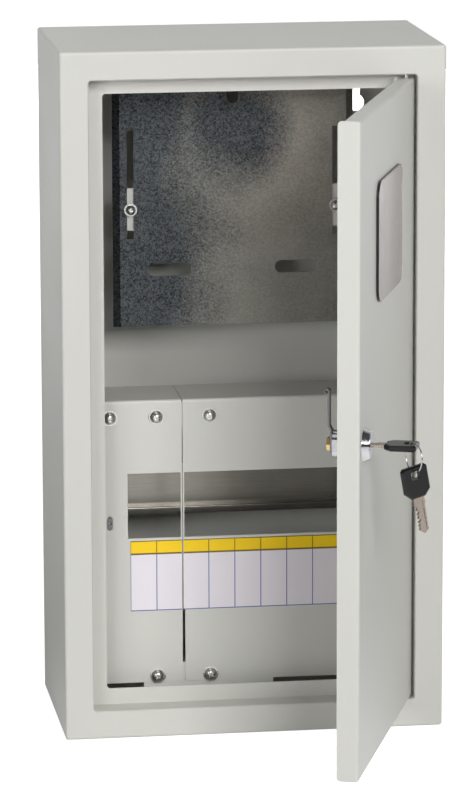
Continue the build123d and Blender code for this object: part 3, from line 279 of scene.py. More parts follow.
class EnclosureStudio(bpy.types.PropertyGroup):
    """Camera and lamps."""

    camera_place: bpy.props.FloatVectorProperty(
        name="Camera", description="Where the camera stands", subtype="TRANSLATION", size=3,
        default=(-0.4292, -3.0732, 0.6003),
    )
    camera_turn: bpy.props.FloatVectorProperty(
        name="Camera turn", description="Pitch, roll and yaw of the camera", subtype="EULER", size=3,
        default=(radians(78.491), radians(0.169), radians(-8.041)),
    )
    lens: bpy.props.FloatProperty(
        name="Lens", description="Focal length in millimetres", default=201.95, min=1,
    )
    key: bpy.props.FloatProperty(
        name="Key lamp", description="Watts of the big front lamp", default=68, min=0,
    )
    back: bpy.props.FloatProperty(
        name="Back lamp", description="Watts of the lamp behind", default=50, min=0,
    )
    side: bpy.props.FloatProperty(
        name="Side lamp", description="Watts of the lamp at the far right", default=15, min=0,
    )
    left: bpy.props.FloatProperty(
        name="Left lamp", description="Watts of the lamp at half left", default=13.5, min=0,
    )
    far_left: bpy.props.FloatProperty(
        name="Far left lamp", description="Watts of the lamp at the far left", default=0.85, min=0,
    )
    top: bpy.props.FloatProperty(
        name="Top lamp", description="Watts of the lamp above", default=6, min=0,
    )
    room: bpy.props.FloatProperty(
        name="Room", description="Strength of the room's light", default=0.02, min=0,
    )


def fill(tree, socket, given):
    """Link a node's output to a socket, or set the socket to a value."""
    if isinstance(given, bpy.types.NodeSocket):
        tree.links.new(given, socket)
    else:
        socket.default_value = given


def mix_two(tree, factor, first, second):
    """Mix two colours; each argument is a value or a node's output."""
    mix = tree.nodes.new("ShaderNodeMix")
    mix.data_type = "RGBA"
    for name, given in (("Factor", factor), ("A", first), ("B", second)):
        kind = "VALUE" if name == "Factor" else "RGBA"
        fill(tree, next(s for s in mix.inputs if s.name == name and s.type == kind), given)
    return next(s for s in mix.outputs if s.type == "RGBA")


def calculate(tree, operation, *terms):
    """One Math node; each term is a number or a node's output."""
    node = tree.nodes.new("ShaderNodeMath")
    node.operation = operation
    for socket, term in zip(node.inputs, terms):
        fill(tree, socket, term)
    return node.outputs[0]


def measure(tree, operation, *terms):
    """One Vector Math node that puts out a number; each term is a vector or a node's output."""
    node = tree.nodes.new("ShaderNodeVectorMath")
    node.operation = operation
    for socket, term in zip(node.inputs, terms):
        fill(tree, socket, term)
    return node.outputs["Value"]


def scaled(tree, place, factors):
    """Multiply a place by a factor along each axis."""
    node = tree.nodes.new("ShaderNodeVectorMath")
    node.operation = "MULTIPLY"
    fill(tree, node.inputs[0], place)
    fill(tree, node.inputs[1], factors)
    return node.outputs["Vector"]


def stretch(tree, value, low, high, out_low, out_high):
    """Carry a value from one range to another, held at its ends."""
    node = tree.nodes.new("ShaderNodeMapRange")
    tree.links.new(value, node.inputs["Value"])
    node.inputs["From Min"].default_value = low
    node.inputs["From Max"].default_value = high
    node.inputs["To Min"].default_value = out_low
    node.inputs["To Max"].default_value = out_high
    return node.outputs["Result"]


def spread(tree, value, low, high):
    """Spread a noise's usual band between two values."""
    return stretch(tree, value, NOISE_LOW, NOISE_HIGH, low, high)


def between(tree, share, low, high):
    """A value between two, by a share from 0 to 1."""
    return stretch(tree, share, 0.0, 1.0, low, high)


def turned_away(tree, facing):
    """A mask of the walls and folds that turn away from where the sheet faces."""
    return stretch(tree, calculate(tree, "ABSOLUTE", facing), FACING_LOW, FACING_HIGH, 1.0, 0.0)


def noise(tree, place, scale, detail, roughness):
    """Procedural noise over a place."""
    node = tree.nodes.new("ShaderNodeTexNoise")
    tree.links.new(place, node.inputs["Vector"])
    fill(tree, node.inputs["Scale"], scale)
    node.inputs["Detail"].default_value = detail
    node.inputs["Roughness"].default_value = roughness
    return node.outputs["Fac"]


def new_effect(name, inputs, outputs):
    """An empty shader node group with named sockets."""
    group = bpy.data.node_groups.new(name, "ShaderNodeTree")
    for socket_name, kind, default in inputs:
        socket = group.interface.new_socket(name=socket_name, in_out="INPUT", socket_type=kind)
        if default is not None:
            socket.default_value = default
    for socket_name, kind in outputs:
        group.interface.new_socket(name=socket_name, in_out="OUTPUT", socket_type=kind)
    return group, group.nodes.new("NodeGroupInput"), group.nodes.new("NodeGroupOutput")


def tinted(tree, colour, factor):
    """Multiply a colour by a grey value."""
    tint = tree.nodes.new("ShaderNodeVectorMath")
    tint.operation = "SCALE"
    tree.links.new(colour, tint.inputs[0])
    tree.links.new(factor, tint.inputs["Scale"])
    return tint.outputs["Vector"]


def powder_coat_effect():
    """Orange peel and slow drift of shade of a baked powder coat."""
    if "Powder coat" in bpy.data.node_groups:
        return bpy.data.node_groups["Powder coat"]
    group, given, made = new_effect(
        "Powder coat",
        (
            ("Colour", "NodeSocketColor", (0.6, 0.6, 0.56, 1)),
            ("Grain", "NodeSocketFloat", 600.0),
            ("Drift", "NodeSocketFloat", 0.03),
            ("Roughness", "NodeSocketFloat", 0.42),
        ),
        (("Colour", "NodeSocketColor"), ("Roughness", "NodeSocketFloat"), ("Height", "NodeSocketFloat")),
    )
    place = group.nodes.new("ShaderNodeTexCoord").outputs["Object"]
    peel = noise(group, place, scale=given.outputs["Grain"], detail=3.0, roughness=0.55)
    slow = noise(group, place, scale=9.0, detail=2.0, roughness=0.5)
    fleck = noise(group, place, scale=2400.0, detail=1.0, roughness=0.4)
    shade = calculate(group, "MULTIPLY", calculate(group, "SUBTRACT", slow, 0.5), given.outputs["Drift"])
    shade = calculate(group, "ADD", shade, spread(group, fleck, -0.012, 0.012))
    shade = calculate(group, "ADD", shade, 1.0)
    group.links.new(tinted(group, given.outputs["Colour"], shade), made.inputs["Colour"])
    rough = calculate(group, "ADD", given.outputs["Roughness"], spread(group, slow, -0.03, 0.03))
    group.links.new(rough, made.inputs["Roughness"])
    group.links.new(peel, made.inputs["Height"])
    return group


def zinc_effect():
    """Fine crystals of a galvanised sheet, which grow smoother along a direction where a painted reflection
    of the door turns the dark sheet brownish grey; folds and walls turned away are paler and less metallic,
    partly bare cut steel and partly a painted highlight.
    """
    if "Zinc coat and painted reflection" in bpy.data.node_groups:
        return bpy.data.node_groups["Zinc coat and painted reflection"]
    group, given, made = new_effect(
        "Zinc coat and painted reflection",
        (
            ("Cold dark reflection", "NodeSocketColor", (0.11, 0.12, 0.12, 1)),
            ("Warm door reflection", "NodeSocketColor", (0.15, 0.15, 0.13, 1)),
            ("Crystals", "NodeSocketFloat", 900.0),
            ("Mottle", "NodeSocketFloat", 0.5),
            ("Roughness", "NodeSocketFloat", 0.35),
            ("Painted reflection and smoothing toward", "NodeSocketVector", (26.0, 0.0, -8.0)),
            ("Dark patch", "NodeSocketVector", (0.0, 0.0, 0.0)),
            ("Cut edge and painted highlight", "NodeSocketColor", (0.5, 0.5, 0.48, 1)),
        ),
        (
            ("Colour", "NodeSocketColor"),
            ("Roughness", "NodeSocketFloat"),
            ("Metallic", "NodeSocketFloat"),
            ("Height", "NodeSocketFloat"),
        ),
    )
    place = group.nodes.new("ShaderNodeTexCoord").outputs["Object"]
    crystals = group.nodes.new("ShaderNodeTexVoronoi")
    group.links.new(place, crystals.inputs["Vector"])
    group.links.new(given.outputs["Crystals"], crystals.inputs["Scale"])
    crystals.inputs["Randomness"].default_value = 1.0
    cell = group.nodes.new("ShaderNodeSeparateColor")
    group.links.new(crystals.outputs["Color"], cell.inputs["Color"])
    fine = noise(group, place, scale=1500.0, detail=2.0, roughness=0.6)
    cloud = noise(group, place, scale=26.0, detail=4.0, roughness=0.6)
    drift = noise(group, place, scale=14.0, detail=2.0, roughness=0.5)
    # Share of the painted reflection of the door, growing along a direction; the crystals grow smoother
    # with it
    way = measure(group, "DOT_PRODUCT", place, given.outputs["Painted reflection and smoothing toward"])
    reflection_share = calculate(group, "ADD", way, spread(group, drift, -0.3, 0.3))
    apart = measure(group, "DISTANCE", scaled(group, place, ACROSS_SHEET), given.outputs["Dark patch"])
    dark = stretch(group, apart, DARK_CORE, DARK_RIM, DARK_DEPTH, 0.0)
    reflection_share = stretch(group, calculate(group, "SUBTRACT", reflection_share, dark), REFLECTION_FROM, REFLECTION_TO, 0.0, 1.0)
    speck = between(group, cell.outputs["Red"], -0.5, 0.5)
    grain = calculate(group, "ADD", speck, stretch(group, fine, 0.25, 0.75, -0.6, 0.6))
    grain = calculate(group, "MULTIPLY", grain, between(group, reflection_share, 1.0, 0.25))
    grain = calculate(group, "ADD", grain, spread(group, cloud, -0.12, 0.12))
    grain = calculate(group, "MULTIPLY", grain, given.outputs["Mottle"])
    # Painted reflection: the dark colour turns to the brownish grey that stands for the door
    base = mix_two(group, reflection_share, given.outputs["Cold dark reflection"], given.outputs["Warm door reflection"])
    facing = group.nodes.new("ShaderNodeSeparateXYZ")
    group.links.new(group.nodes.new("ShaderNodeTexCoord").outputs["Normal"], facing.inputs["Vector"])
    # Faces turned away from the front, the folds, walls and rims, are paler and less metallic: partly bare
    # cut steel, partly a painted highlight
    cut = turned_away(group, facing.outputs["Y"])
    sheet = tinted(group, base, calculate(group, "ADD", grain, 1.0))
    group.links.new(mix_two(group, cut, sheet, given.outputs["Cut edge and painted highlight"]), made.inputs["Colour"])
    group.links.new(between(group, cut, 1.0, 0.2), made.inputs["Metallic"])
    uneven = between(group, cell.outputs["Green"], -0.05, 0.05)
    rough = calculate(group, "ADD", given.outputs["Roughness"], uneven)
    group.links.new(rough, made.inputs["Roughness"])
    relief = calculate(group, "ADD", cell.outputs["Blue"], fine)
    relief = calculate(group, "MULTIPLY", relief, between(group, reflection_share, 1.0, 0.3))
    group.links.new(relief, made.inputs["Height"])
    return group


def rolled_strip_effect():
    """Drawing marks along the length of a rolled strip."""
    if "Rolled strip" in bpy.data.node_groups:
        return bpy.data.node_groups["Rolled strip"]
    group, given, made = new_effect(
        "Rolled strip",
        (
            ("Colour", "NodeSocketColor", (0.3, 0.3, 0.29, 1)),
            ("Along", "NodeSocketVector", (40.0, 1500.0, 1500.0)),
            ("Roughness", "NodeSocketFloat", 0.25),
        ),
        (("Colour", "NodeSocketColor"), ("Roughness", "NodeSocketFloat"), ("Height", "NodeSocketFloat")),
    )
    place = group.nodes.new("ShaderNodeTexCoord").outputs["Object"]
    marks = noise(group, scaled(group, place, given.outputs["Along"]), scale=1.0, detail=3.0, roughness=0.6)
    bloom = noise(group, place, scale=90.0, detail=3.0, roughness=0.6)
    shade = calculate(group, "ADD", spread(group, marks, -0.09, 0.09), spread(group, bloom, 0.95, 1.05))
    group.links.new(tinted(group, given.outputs["Colour"], shade), made.inputs["Colour"])
    rough = calculate(group, "ADD", given.outputs["Roughness"], spread(group, bloom, -0.01, 0.01))
    group.links.new(rough, made.inputs["Roughness"])
    group.links.new(marks, made.inputs["Height"])
    return group


def turned_metal_effect():
    """Fine machining marks and handling smudges on small metal parts."""
    if "Turned metal" in bpy.data.node_groups:
        return bpy.data.node_groups["Turned metal"]
    group, given, made = new_effect(
        "Turned metal",
        (
            ("Colour", "NodeSocketColor", (0.5, 0.5, 0.5, 1)),
            ("Marks", "NodeSocketFloat", 3000.0),
            ("Roughness", "NodeSocketFloat", 0.2),
        ),
        (("Colour", "NodeSocketColor"), ("Roughness", "NodeSocketFloat"), ("Height", "NodeSocketFloat")),
    )
    place = group.nodes.new("ShaderNodeTexCoord").outputs["Object"]
    marks = noise(group, place, scale=given.outputs["Marks"], detail=2.0, roughness=0.6)
    smudge = noise(group, place, scale=160.0, detail=3.0, roughness=0.6)
    shade = calculate(group, "ADD", spread(group, smudge, -0.12, 0.08), 1.0)
    group.links.new(tinted(group, given.outputs["Colour"], shade), made.inputs["Colour"])
    rough = calculate(group, "ADD", given.outputs["Roughness"], spread(group, smudge, -0.05, 0.08))
    group.links.new(rough, made.inputs["Roughness"])
    group.links.new(marks, made.inputs["Height"])
    return group


def moulded_pane_effect():
    """Clear sheet with faint waves and scuffs, darker in the walls round its raised field."""
    if "Moulded pane" in bpy.data.node_groups:
        return bpy.data.node_groups["Moulded pane"]
    group, given, made = new_effect(
        "Moulded pane",
        (
            ("Colour", "NodeSocketColor", (0.8, 0.7, 0.7, 1)),
            ("Wall", "NodeSocketColor", (0.05, 0.05, 0.05, 1)),
            ("Outward", "NodeSocketVector", (0.0, -1.0, 0.0)),
            ("Roughness", "NodeSocketFloat", 0.2),
        ),
        (("Colour", "NodeSocketColor"), ("Roughness", "NodeSocketFloat"), ("Height", "NodeSocketFloat")),
    )
    coordinates = group.nodes.new("ShaderNodeTexCoord")
    place = coordinates.outputs["Object"]
    facing = measure(group, "DOT_PRODUCT", coordinates.outputs["Normal"], given.outputs["Outward"])
    wall = turned_away(group, facing)
    waves = noise(group, place, scale=45.0, detail=1.0, roughness=0.5)
    scuff = noise(group, place, scale=120.0, detail=4.0, roughness=0.65)
    clear = tinted(group, given.outputs["Colour"], spread(group, scuff, 0.96, 1.04))
    group.links.new(mix_two(group, wall, clear, given.outputs["Wall"]), made.inputs["Colour"])
    rough = calculate(group, "ADD", given.outputs["Roughness"], spread(group, scuff, -0.03, 0.03))
    group.links.new(rough, made.inputs["Roughness"])
    group.links.new(waves, made.inputs["Height"])
    return group


def ruled_label_effect():
    """Cells, coloured band and ruled lines of the label strip, laid out along X and Z."""
    group, given, made = new_effect(
        "Ruled label",
        (
            ("Paper", "NodeSocketColor", (0.79, 0.75, 0.80, 1)),
            ("Band", "NodeSocketColor", (0.93, 0.62, 0.02, 1)),
            ("Rule", "NodeSocketColor", (0.10, 0.12, 0.42, 1)),
            ("Band rule", "NodeSocketColor", (0.12, 0.08, 0.02, 1)),
            ("Cell width", "NodeSocketFloat", 0.018),
            ("Cell start", "NodeSocketFloat", 0.0),
            ("Top", "NodeSocketFloat", 0.0),
            ("Bottom", "NodeSocketFloat", 0.0),
            ("Band height", "NodeSocketFloat", 0.0092),
            ("Rule width", "NodeSocketFloat", 0.00045),
        ),
        (("Colour", "NodeSocketColor"),),
    )
    place = group.nodes.new("ShaderNodeSeparateXYZ")
    group.links.new(group.nodes.new("ShaderNodeTexCoord").outputs["Object"], place.inputs["Vector"])
    cell, rule_width = given.outputs["Cell width"], given.outputs["Rule width"]
    band, top = given.outputs["Band height"], given.outputs["Top"]
    along = calculate(group, "SUBTRACT", place.outputs["X"], given.outputs["Cell start"])
    to_line = calculate(group, "PINGPONG", calculate(group, "DIVIDE", along, cell), 0.5)
    to_line = calculate(group, "MULTIPLY", to_line, cell)
    ruled = calculate(group, "LESS_THAN", to_line, calculate(group, "DIVIDE", rule_width, 2.0))
    under_top = calculate(group, "SUBTRACT", top, place.outputs["Z"])
    in_band = calculate(group, "LESS_THAN", under_top, band)
    for edge in (band, calculate(group, "SUBTRACT", top, given.outputs["Bottom"])):
        apart = calculate(group, "ABSOLUTE", calculate(group, "SUBTRACT", under_top, edge))
        ruled = calculate(group, "MAXIMUM", ruled, calculate(group, "LESS_THAN", apart, rule_width))
    ruled = calculate(group, "MAXIMUM", ruled, calculate(group, "LESS_THAN", under_top, rule_width))
    colour = mix_two(group, in_band, given.outputs["Paper"], given.outputs["Band"])
    near_band = calculate(group, "SUBTRACT", under_top, rule_width)
    near_band = calculate(group, "LESS_THAN", near_band, band)
    rule = mix_two(group, near_band, given.outputs["Rule"], given.outputs["Band rule"])
    colour = mix_two(group, ruled, colour, rule)
    group.links.new(colour, made.inputs["Colour"])
    return group


def new_finish(name):
    """A material with a Principled shader."""
    material = bpy.data.materials.new(name)
    material.use_nodes = True
    return material, material.node_tree, material.node_tree.nodes["Principled BSDF"]


def lay_on(tree, shader, effect, values, bump=0.0, depth=0.0):
    """Put an effect group in a material; bump and depth are for groups that put out a height."""
    node = tree.nodes.new("ShaderNodeGroup")
    node.node_tree = effect
    for name, value in values.items():
        node.inputs[name].default_value = value
    tree.links.new(node.outputs["Colour"], shader.inputs["Base Color"])
    for varied in ("Roughness", "Metallic"):
        if varied in node.outputs:
            tree.links.new(node.outputs[varied], shader.inputs[varied])
    if "Height" in node.outputs:
        relief = tree.nodes.new("ShaderNodeBump")
        relief.inputs["Strength"].default_value = bump
        relief.inputs["Distance"].default_value = depth
        tree.links.new(node.outputs["Height"], relief.inputs["Height"])
        tree.links.new(relief.outputs["Normal"], shader.inputs["Normal"])


def give(material, names):
    """Put a material on the CAD nodes with these names."""
    for name in names:
        NODES[name].data.materials.clear()
        NODES[name].data.materials.append(material)


def take(obj):
    """Make an object the only one selected, and the active one."""
    bpy.ops.object.select_all(action="DESELECT")
    obj.select_set(True)
    bpy.context.view_layer.objects.active = obj


def front_cap(obj):
    """Select only the face of a mesh that lies furthest forward."""
    for element in (*obj.data.polygons, *obj.data.edges, *obj.data.vertices):
        element.select = False
    min(obj.data.polygons, key=lambda face: face.center.y).select = True


def cut_out(obj, cutter):
    """Take one object's volume out of another and delete the cutter."""
    take(obj)
    cut = obj.modifiers.new("cut", "BOOLEAN")
    cut.operation = "DIFFERENCE"
    cut.solver = "EXACT"
    cut.object = cutter
    bpy.ops.object.modifier_apply(modifier=cut.name)
    take(cutter)
    bpy.ops.object.delete()


def domed_screw(seat, height, rim, flange, dome, cross, slot_width, turn, shank, shank_length):
    """A pan-head screw with a cross recess, which faces forward on its seat."""
    bpy.ops.mesh.primitive_cylinder_add(
        vertices=HEAD_SIDES, radius=rim, depth=flange, location=seat - Vector((0, flange / 2, 0)),
        rotation=(radians(90), 0, 0),
    )
    screw = bpy.context.object
    bpy.ops.object.transform_apply(location=True, rotation=True, scale=True)
    front_cap(screw)
    bpy.ops.object.mode_set(mode="EDIT")
    bpy.ops.mesh.inset(thickness=rim - dome)
    radius = dome
    depth = 0.0
    for share in DOME_STEPS:
        rise = (height - flange) * (1 - share ** 2) / (1 - DOME_STEPS[-1] ** 2)
        narrower = dome * share
        bpy.ops.mesh.extrude_region_move(TRANSFORM_OT_translate={"value": (0, depth - rise, 0)})
        bpy.ops.transform.resize(value=(narrower / radius, 1, narrower / radius), center_override=seat)
        radius = narrower
        depth = rise
    bpy.ops.object.mode_set(mode="OBJECT")
    for quarter in (0, 90):
        bpy.ops.mesh.primitive_cube_add(
            size=1, location=seat - Vector((0, height, 0)), rotation=(0, radians(turn + quarter), 0),
            scale=(cross, height, slot_width),
        )
        cut_out(screw, bpy.context.object)
    bpy.ops.mesh.primitive_cylinder_add(
        vertices=SHANK_SIDES, radius=shank, depth=shank_length,
        location=seat + Vector((0, shank_length / 2, 0)), rotation=(radians(90), 0, 0),
    )
    stem = bpy.context.object
    take(stem)
    stem.modifiers.new("end", "BEVEL").width = shank * SHANK_EASE
    bpy.ops.object.modifier_apply(modifier="end")
    bpy.ops.object.transform_apply(location=True, rotation=True, scale=True)
    take(screw)
    stem.select_set(True)
    bpy.ops.object.join()
    bpy.ops.object.shade_smooth_by_angle(angle=SCREW_CREASE)
    return screw


def row_of(screw, places, name):
    """Copies of a screw at other places, joined to it as one piece."""
    first = places[0]
    copies = []
    for x, z in places[1:]:
        copy = screw.copy()
        copy.data = screw.data.copy()
        copy.data.transform(Matrix.Translation((x - first[0], 0, z - first[1])))
        bpy.context.collection.objects.link(copy)
        copies.append(copy)
    take(screw)
    for copy in copies:
        copy.select_set(True)
    bpy.ops.object.join()
    screw.name = name
    return screw


def seen_directly(tree, rays):
    """A mask of what the camera sees, straight or through the clear pane."""
    return calculate(tree, "MAXIMUM", rays["Is Camera Ray"], rays["Is Transmission Ray"])


def pale_floor():
    """A pale floor, white to the camera, which gloss shows darker in front and close by."""
    material, tree, shader = new_finish("Pale floor")
    shader.inputs["Base Color"].default_value = (0.80, 0.80, 0.80, 1)
    shader.inputs["Roughness"].default_value = 0.9
    shader.inputs["Specular IOR Level"].default_value = 0.0
    rays = tree.nodes.new("ShaderNodeLightPath").outputs
    place = tree.nodes.new("ShaderNodeTexCoord").outputs["Object"]
    axes = tree.nodes.new("ShaderNodeSeparateXYZ")
    tree.links.new(place, axes.inputs["Vector"])
    away = measure(tree, "LENGTH", place)
    white = stretch(tree, away, *FLOOR_WHITENS, FLOOR_NEAR, 1.0)
    ahead = stretch(tree, away, *FLOOR_DIMS, 1.0, ROOM_FRONT)
    behind = stretch(tree, axes.outputs["Y"], *FLOOR_BRIGHTENS, FLOOR_BEHIND, 1.0)
    share = stretch(tree, axes.outputs["Y"], *FLOOR_TURNS, 0.0, 1.0)
    mirrored = calculate(
        tree, "ADD", calculate(tree, "MULTIPLY", behind, share),
        calculate(tree, "MULTIPLY", ahead, calculate(tree, "SUBTRACT", 1.0, share)),
    )
    glow = calculate(
        tree, "MAXIMUM", calculate(tree, "MULTIPLY", seen_directly(tree, rays), white),
        calculate(tree, "MULTIPLY", rays["Is Glossy Ray"], mirrored),
    )
    lift = tree.nodes.new("ShaderNodeEmission")
    lift.inputs["Color"].default_value = (1, 1, 1, 1)
    tree.links.new(glow, lift.inputs["Strength"])
    both = tree.nodes.new("ShaderNodeAddShader")
    tree.links.new(shader.outputs["BSDF"], both.inputs[0])
    tree.links.new(lift.outputs["Emission"], both.inputs[1])
    tree.links.new(both.outputs["Shader"], tree.nodes["Material Output"].inputs["Surface"])
    return material


def hang_lamp(name, watts, width, height, around, up, distance):
    """A flat lamp that points at the middle of the object."""
    level = distance * cos(up)
    place = Vector((level * sin(around), -level * cos(around), distance * sin(up)))
    bpy.ops.object.light_add(type="AREA", location=place)
    lamp = bpy.context.object
    lamp.name = name
    lamp.data.energy = watts
    lamp.data.shape = "RECTANGLE"
    lamp.data.size = width
    lamp.data.size_y = height
    lamp.rotation_euler = (-place).to_track_quat("-Z", "Y").to_euler()
    return lamp


def pale_room(strength):
    """A world that shows white, and that gloss shows dark in front and white behind."""
    world = bpy.data.worlds.new("Pale room")
    world.use_nodes = True
    tree = world.node_tree
    sky = tree.nodes["Background"]
    sky.inputs["Color"].default_value = (1, 1, 1, 1)
    rays = tree.nodes.new("ShaderNodeLightPath").outputs
    axes = tree.nodes.new("ShaderNodeSeparateXYZ")
    tree.links.new(tree.nodes.new("ShaderNodeTexCoord").outputs["Generated"], axes.inputs["Vector"])
    mirrored = stretch(tree, axes.outputs["Y"], *ROOM_TURNS, ROOM_FRONT, 1.0)
    white = calculate(
        tree, "MAXIMUM", seen_directly(tree, rays),
        calculate(tree, "MULTIPLY", rays["Is Glossy Ray"], mirrored),
    )
    tree.links.new(calculate(tree, "MAXIMUM", white, strength), sky.inputs["Strength"])
    return world


class ENCLOSURE_OT_paint(bpy.types.Operator):
    """Powder coat the cabinet, door, covers and brackets"""

    bl_idname = "enclosure.paint"
    bl_label = "Paint the sheet metal"

    def execute(self, context):
        look = context.scene.enclosure_finish
        material, tree, shader = new_finish("Light grey powder coat")
        lay_on(
            tree, shader, powder_coat_effect(),
            {
                "Colour": (*look.paint, 1),
                "Grain": 1 / look.paint_grain,
                "Drift": 0.05,
                "Roughness": look.paint_roughness,
            },
            bump=0.10, depth=0.0001,
        )
        give(material, PAINTED)
        return {"FINISHED"}


class ENCLOSURE_OT_zinc(bpy.types.Operator):
    """Galvanise the meter panel and the rail"""

    bl_idname = "enclosure.zinc"
    bl_label = "Galvanise the panel and rail"

    def execute(self, context):
        look = context.scene.enclosure_finish
        material, tree, shader = new_finish("Galvanised sheet")
        lay_on(
            tree, shader, zinc_effect(),
            {
                # The panel's painted reflection, dark to brownish, and its paler folds and rims, partly a
                # painted highlight
                "Cold dark reflection": (*look.zinc, 1),
                "Warm door reflection": (*look.zinc_door_reflection, 1),
                "Crystals": 1 / look.spangle,
                "Mottle": 1.0,
                "Roughness": 0.38,
                "Painted reflection and smoothing toward": REFLECTION_AND_SMOOTH_TOWARD,
                "Dark patch": DARK_PATCH,
                "Cut edge and painted highlight": (*look.cut_edge_and_highlight, 1),
            },
            bump=0.25, depth=0.0001,
        )
        give(material, ("meter_panel",))
        material, tree, shader = new_finish("Zinc-plated strip")
        shader.inputs["Metallic"].default_value = 1.0
        lay_on(
            tree, shader, rolled_strip_effect(),
            {"Colour": (*look.rail_zinc, 1), "Along": DRAWN_ALONG, "Roughness": 0.24},
            bump=0.01, depth=0.000002,
        )
        give(material, ("din_rail",))
        return {"FINISHED"}


class ENCLOSURE_OT_fittings(bpy.types.Operator):
    """Plate the screws, lock, keys and other fittings"""

    bl_idname = "enclosure.fittings"
    bl_label = "Finish the metal fittings"

    def execute(self, context):
        look = context.scene.enclosure_finish
        for name, colour, roughness, marks, nodes in (
            ("Zinc plate", look.plated, 0.28, 2200.0, ZINC_PLATED),
            # Also painted shade: the sealing lug is darkened so its slot shows dark
            ("Dark steel and painted slot shade", look.dark_steel_and_slot_shade, 0.34, 1600.0, DARK_STEEL_AND_SLOT_SHADE),
            ("Chrome plate", look.chrome, 0.10, 3000.0, CHROMED),
            ("Nickel plate", look.nickel, 0.26, 1800.0, NICKEL),
            ("Turned brass", look.brass, 0.30, 2600.0, BRASS),
        ):
            material, tree, shader = new_finish(name)
            shader.inputs["Metallic"].default_value = 1.0
            lay_on(
                tree, shader, turned_metal_effect(),
                {"Colour": (*colour, 1), "Marks": marks, "Roughness": roughness},
                bump=0.08, depth=0.00003,
            )
            give(material, nodes)
        return {"FINISHED"}


class ENCLOSURE_OT_screws(bpy.types.Operator):
    """Turn the domed screws of the covers and the meter panel"""

    bl_idname = "enclosure.screws"
    bl_label = "Turn the domed screws"

    def execute(self, context):
        for name, node, places, sizes, body in (
            ("cover_screws_turned", "cover_screws", COVER_SCREWS, COVER_SCREW, "cabinet"),
            ("panel_screws_turned", "panel_screws", PANEL_SCREWS, PANEL_SCREW, "cabinet"),
        ):
            low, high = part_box(node)
            seat_y = high.y - sizes["shank_length"]
            first_x, first_z = places[0]
            screw = domed_screw(Vector((first_x, seat_y, first_z)), seat_y - low.y, **sizes)
            screw = row_of(screw, places, name)
            screw.data.materials.clear()
            screw.data.materials.append(bpy.data.materials["Zinc plate"])
            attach(screw, body)
            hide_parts(node)
        return {"FINISHED"}


class ENCLOSURE_OT_split_ring(bpy.types.Operator):
    """Wind the split ring of the keys from flat wire"""

    bl_idname = "enclosure.split_ring"
    bl_label = "Wind the split ring"

    def execute(self, context):
        low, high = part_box("key_ring")
        middle = (low + high) / 2
        outer = (high.z - low.z) / 2
        bpy.ops.object.select_all(action="DESELECT")
        bpy.ops.mesh.primitive_circle_add(
            vertices=RING_SIDES, radius=RING_COIL / 2, fill_type="NOTHING",
            location=(outer - RING_WIRE / 2, 0, (RING_COIL - RING_WIRE) / 2), rotation=(radians(90), 0, 0),
            scale=(RING_WIRE / RING_COIL, 1, 1),
        )
        ring = context.object
        bpy.ops.object.transform_apply(location=True, rotation=True, scale=True)
        wind = ring.modifiers.new("wind", "SCREW")
        wind.axis = "Z"
        wind.angle = radians(RING_WOUND)
        wind.screw_offset = RING_WIRE - RING_COIL
        wind.steps = RING_STEPS
        wind.render_steps = RING_STEPS
        wind.use_merge_vertices = False
        bpy.ops.object.modifier_apply(modifier=wind.name)
        bpy.ops.object.mode_set(mode="EDIT")
        bpy.ops.mesh.select_all(action="SELECT")
        bpy.ops.mesh.fill_holes(sides=0)
        bpy.ops.mesh.select_all(action="SELECT")
        bpy.ops.mesh.normals_make_consistent(inside=False)
        bpy.ops.object.mode_set(mode="OBJECT")
        ring.rotation_euler = Vector(RING_AXIS).to_track_quat("Z", "Y").to_euler()
        ring.location = middle
        bpy.ops.object.transform_apply(location=True, rotation=True, scale=True)
        bpy.ops.object.shade_smooth_by_angle(angle=RING_CREASE)
        ring.name = "split_ring"
        ring.data.materials.append(bpy.data.materials["Chrome plate"])
        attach(ring, "key_ring")
        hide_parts("key_ring")
        return {"FINISHED"}


class ENCLOSURE_OT_key_heads(bpy.types.Operator):
    """Mould the black heads of the keys"""

    bl_idname = "enclosure.key_heads"
    bl_label = "Mould the key heads"

    def execute(self, context):
        look = context.scene.enclosure_finish
        material, tree, shader = new_finish("Black moulded plastic")
        shader.inputs["Specular IOR Level"].default_value = 0.3
        lay_on(
            tree, shader, powder_coat_effect(),
            {"Colour": (*look.key_black, 1), "Grain": 1400.0, "Drift": 0.10, "Roughness": 0.22},
            bump=0.10, depth=0.00003,
        )
        give(material, MOULDED)
        return {"FINISHED"}


class ENCLOSURE_OT_labels(bpy.types.Operator):
    """Print the ruled label strips"""

    bl_idname = "enclosure.labels"
    bl_label = "Print the label strips"

    def execute(self, context):
        label = context.scene.enclosure_label
        material, tree, shader = new_finish("Printed label film")
        shader.inputs["Roughness"].default_value = 0.35
        lay_on(
            tree, shader, ruled_label_effect(),
            {
                "Paper": (*label.paper, 1),
                "Band": (*label.band_colour, 1),
                "Rule": (*label.rule_colour, 1),
                "Band rule": (*label.band_rule, 1),
                "Cell width": label.cell,
                "Cell start": SPLIT_X,
                "Top": LABEL_HIGH.z,
                "Bottom": LABEL_LOW.z,
                "Band height": label.band,
                "Rule width": label.rule,
            },
        )
        give(material, LABELS)
        return {"FINISHED"}


class ENCLOSURE_OT_pane(bpy.types.Operator):
    """Make the window pane clear plastic"""

    bl_idname = "enclosure.pane"
    bl_label = "Clear the window pane"

    def execute(self, context):
        look = context.scene.enclosure_finish
        material, tree, shader = new_finish("Clear plastic sheet")
        lay_on(
            tree, shader, moulded_pane_effect(),
            {
                "Colour": (*look.pane, 1),
                "Wall": (*look.pane_wall, 1),
                "Outward": DOOR_OUTWARD,
                "Roughness": 0.22,
            },
            bump=0.05, depth=0.00005,
        )
        shader.inputs["IOR"].default_value = 1.49
        shader.inputs["Transmission Weight"].default_value = 1.0
        give(material, ("window_pane",))
        return {"FINISHED"}


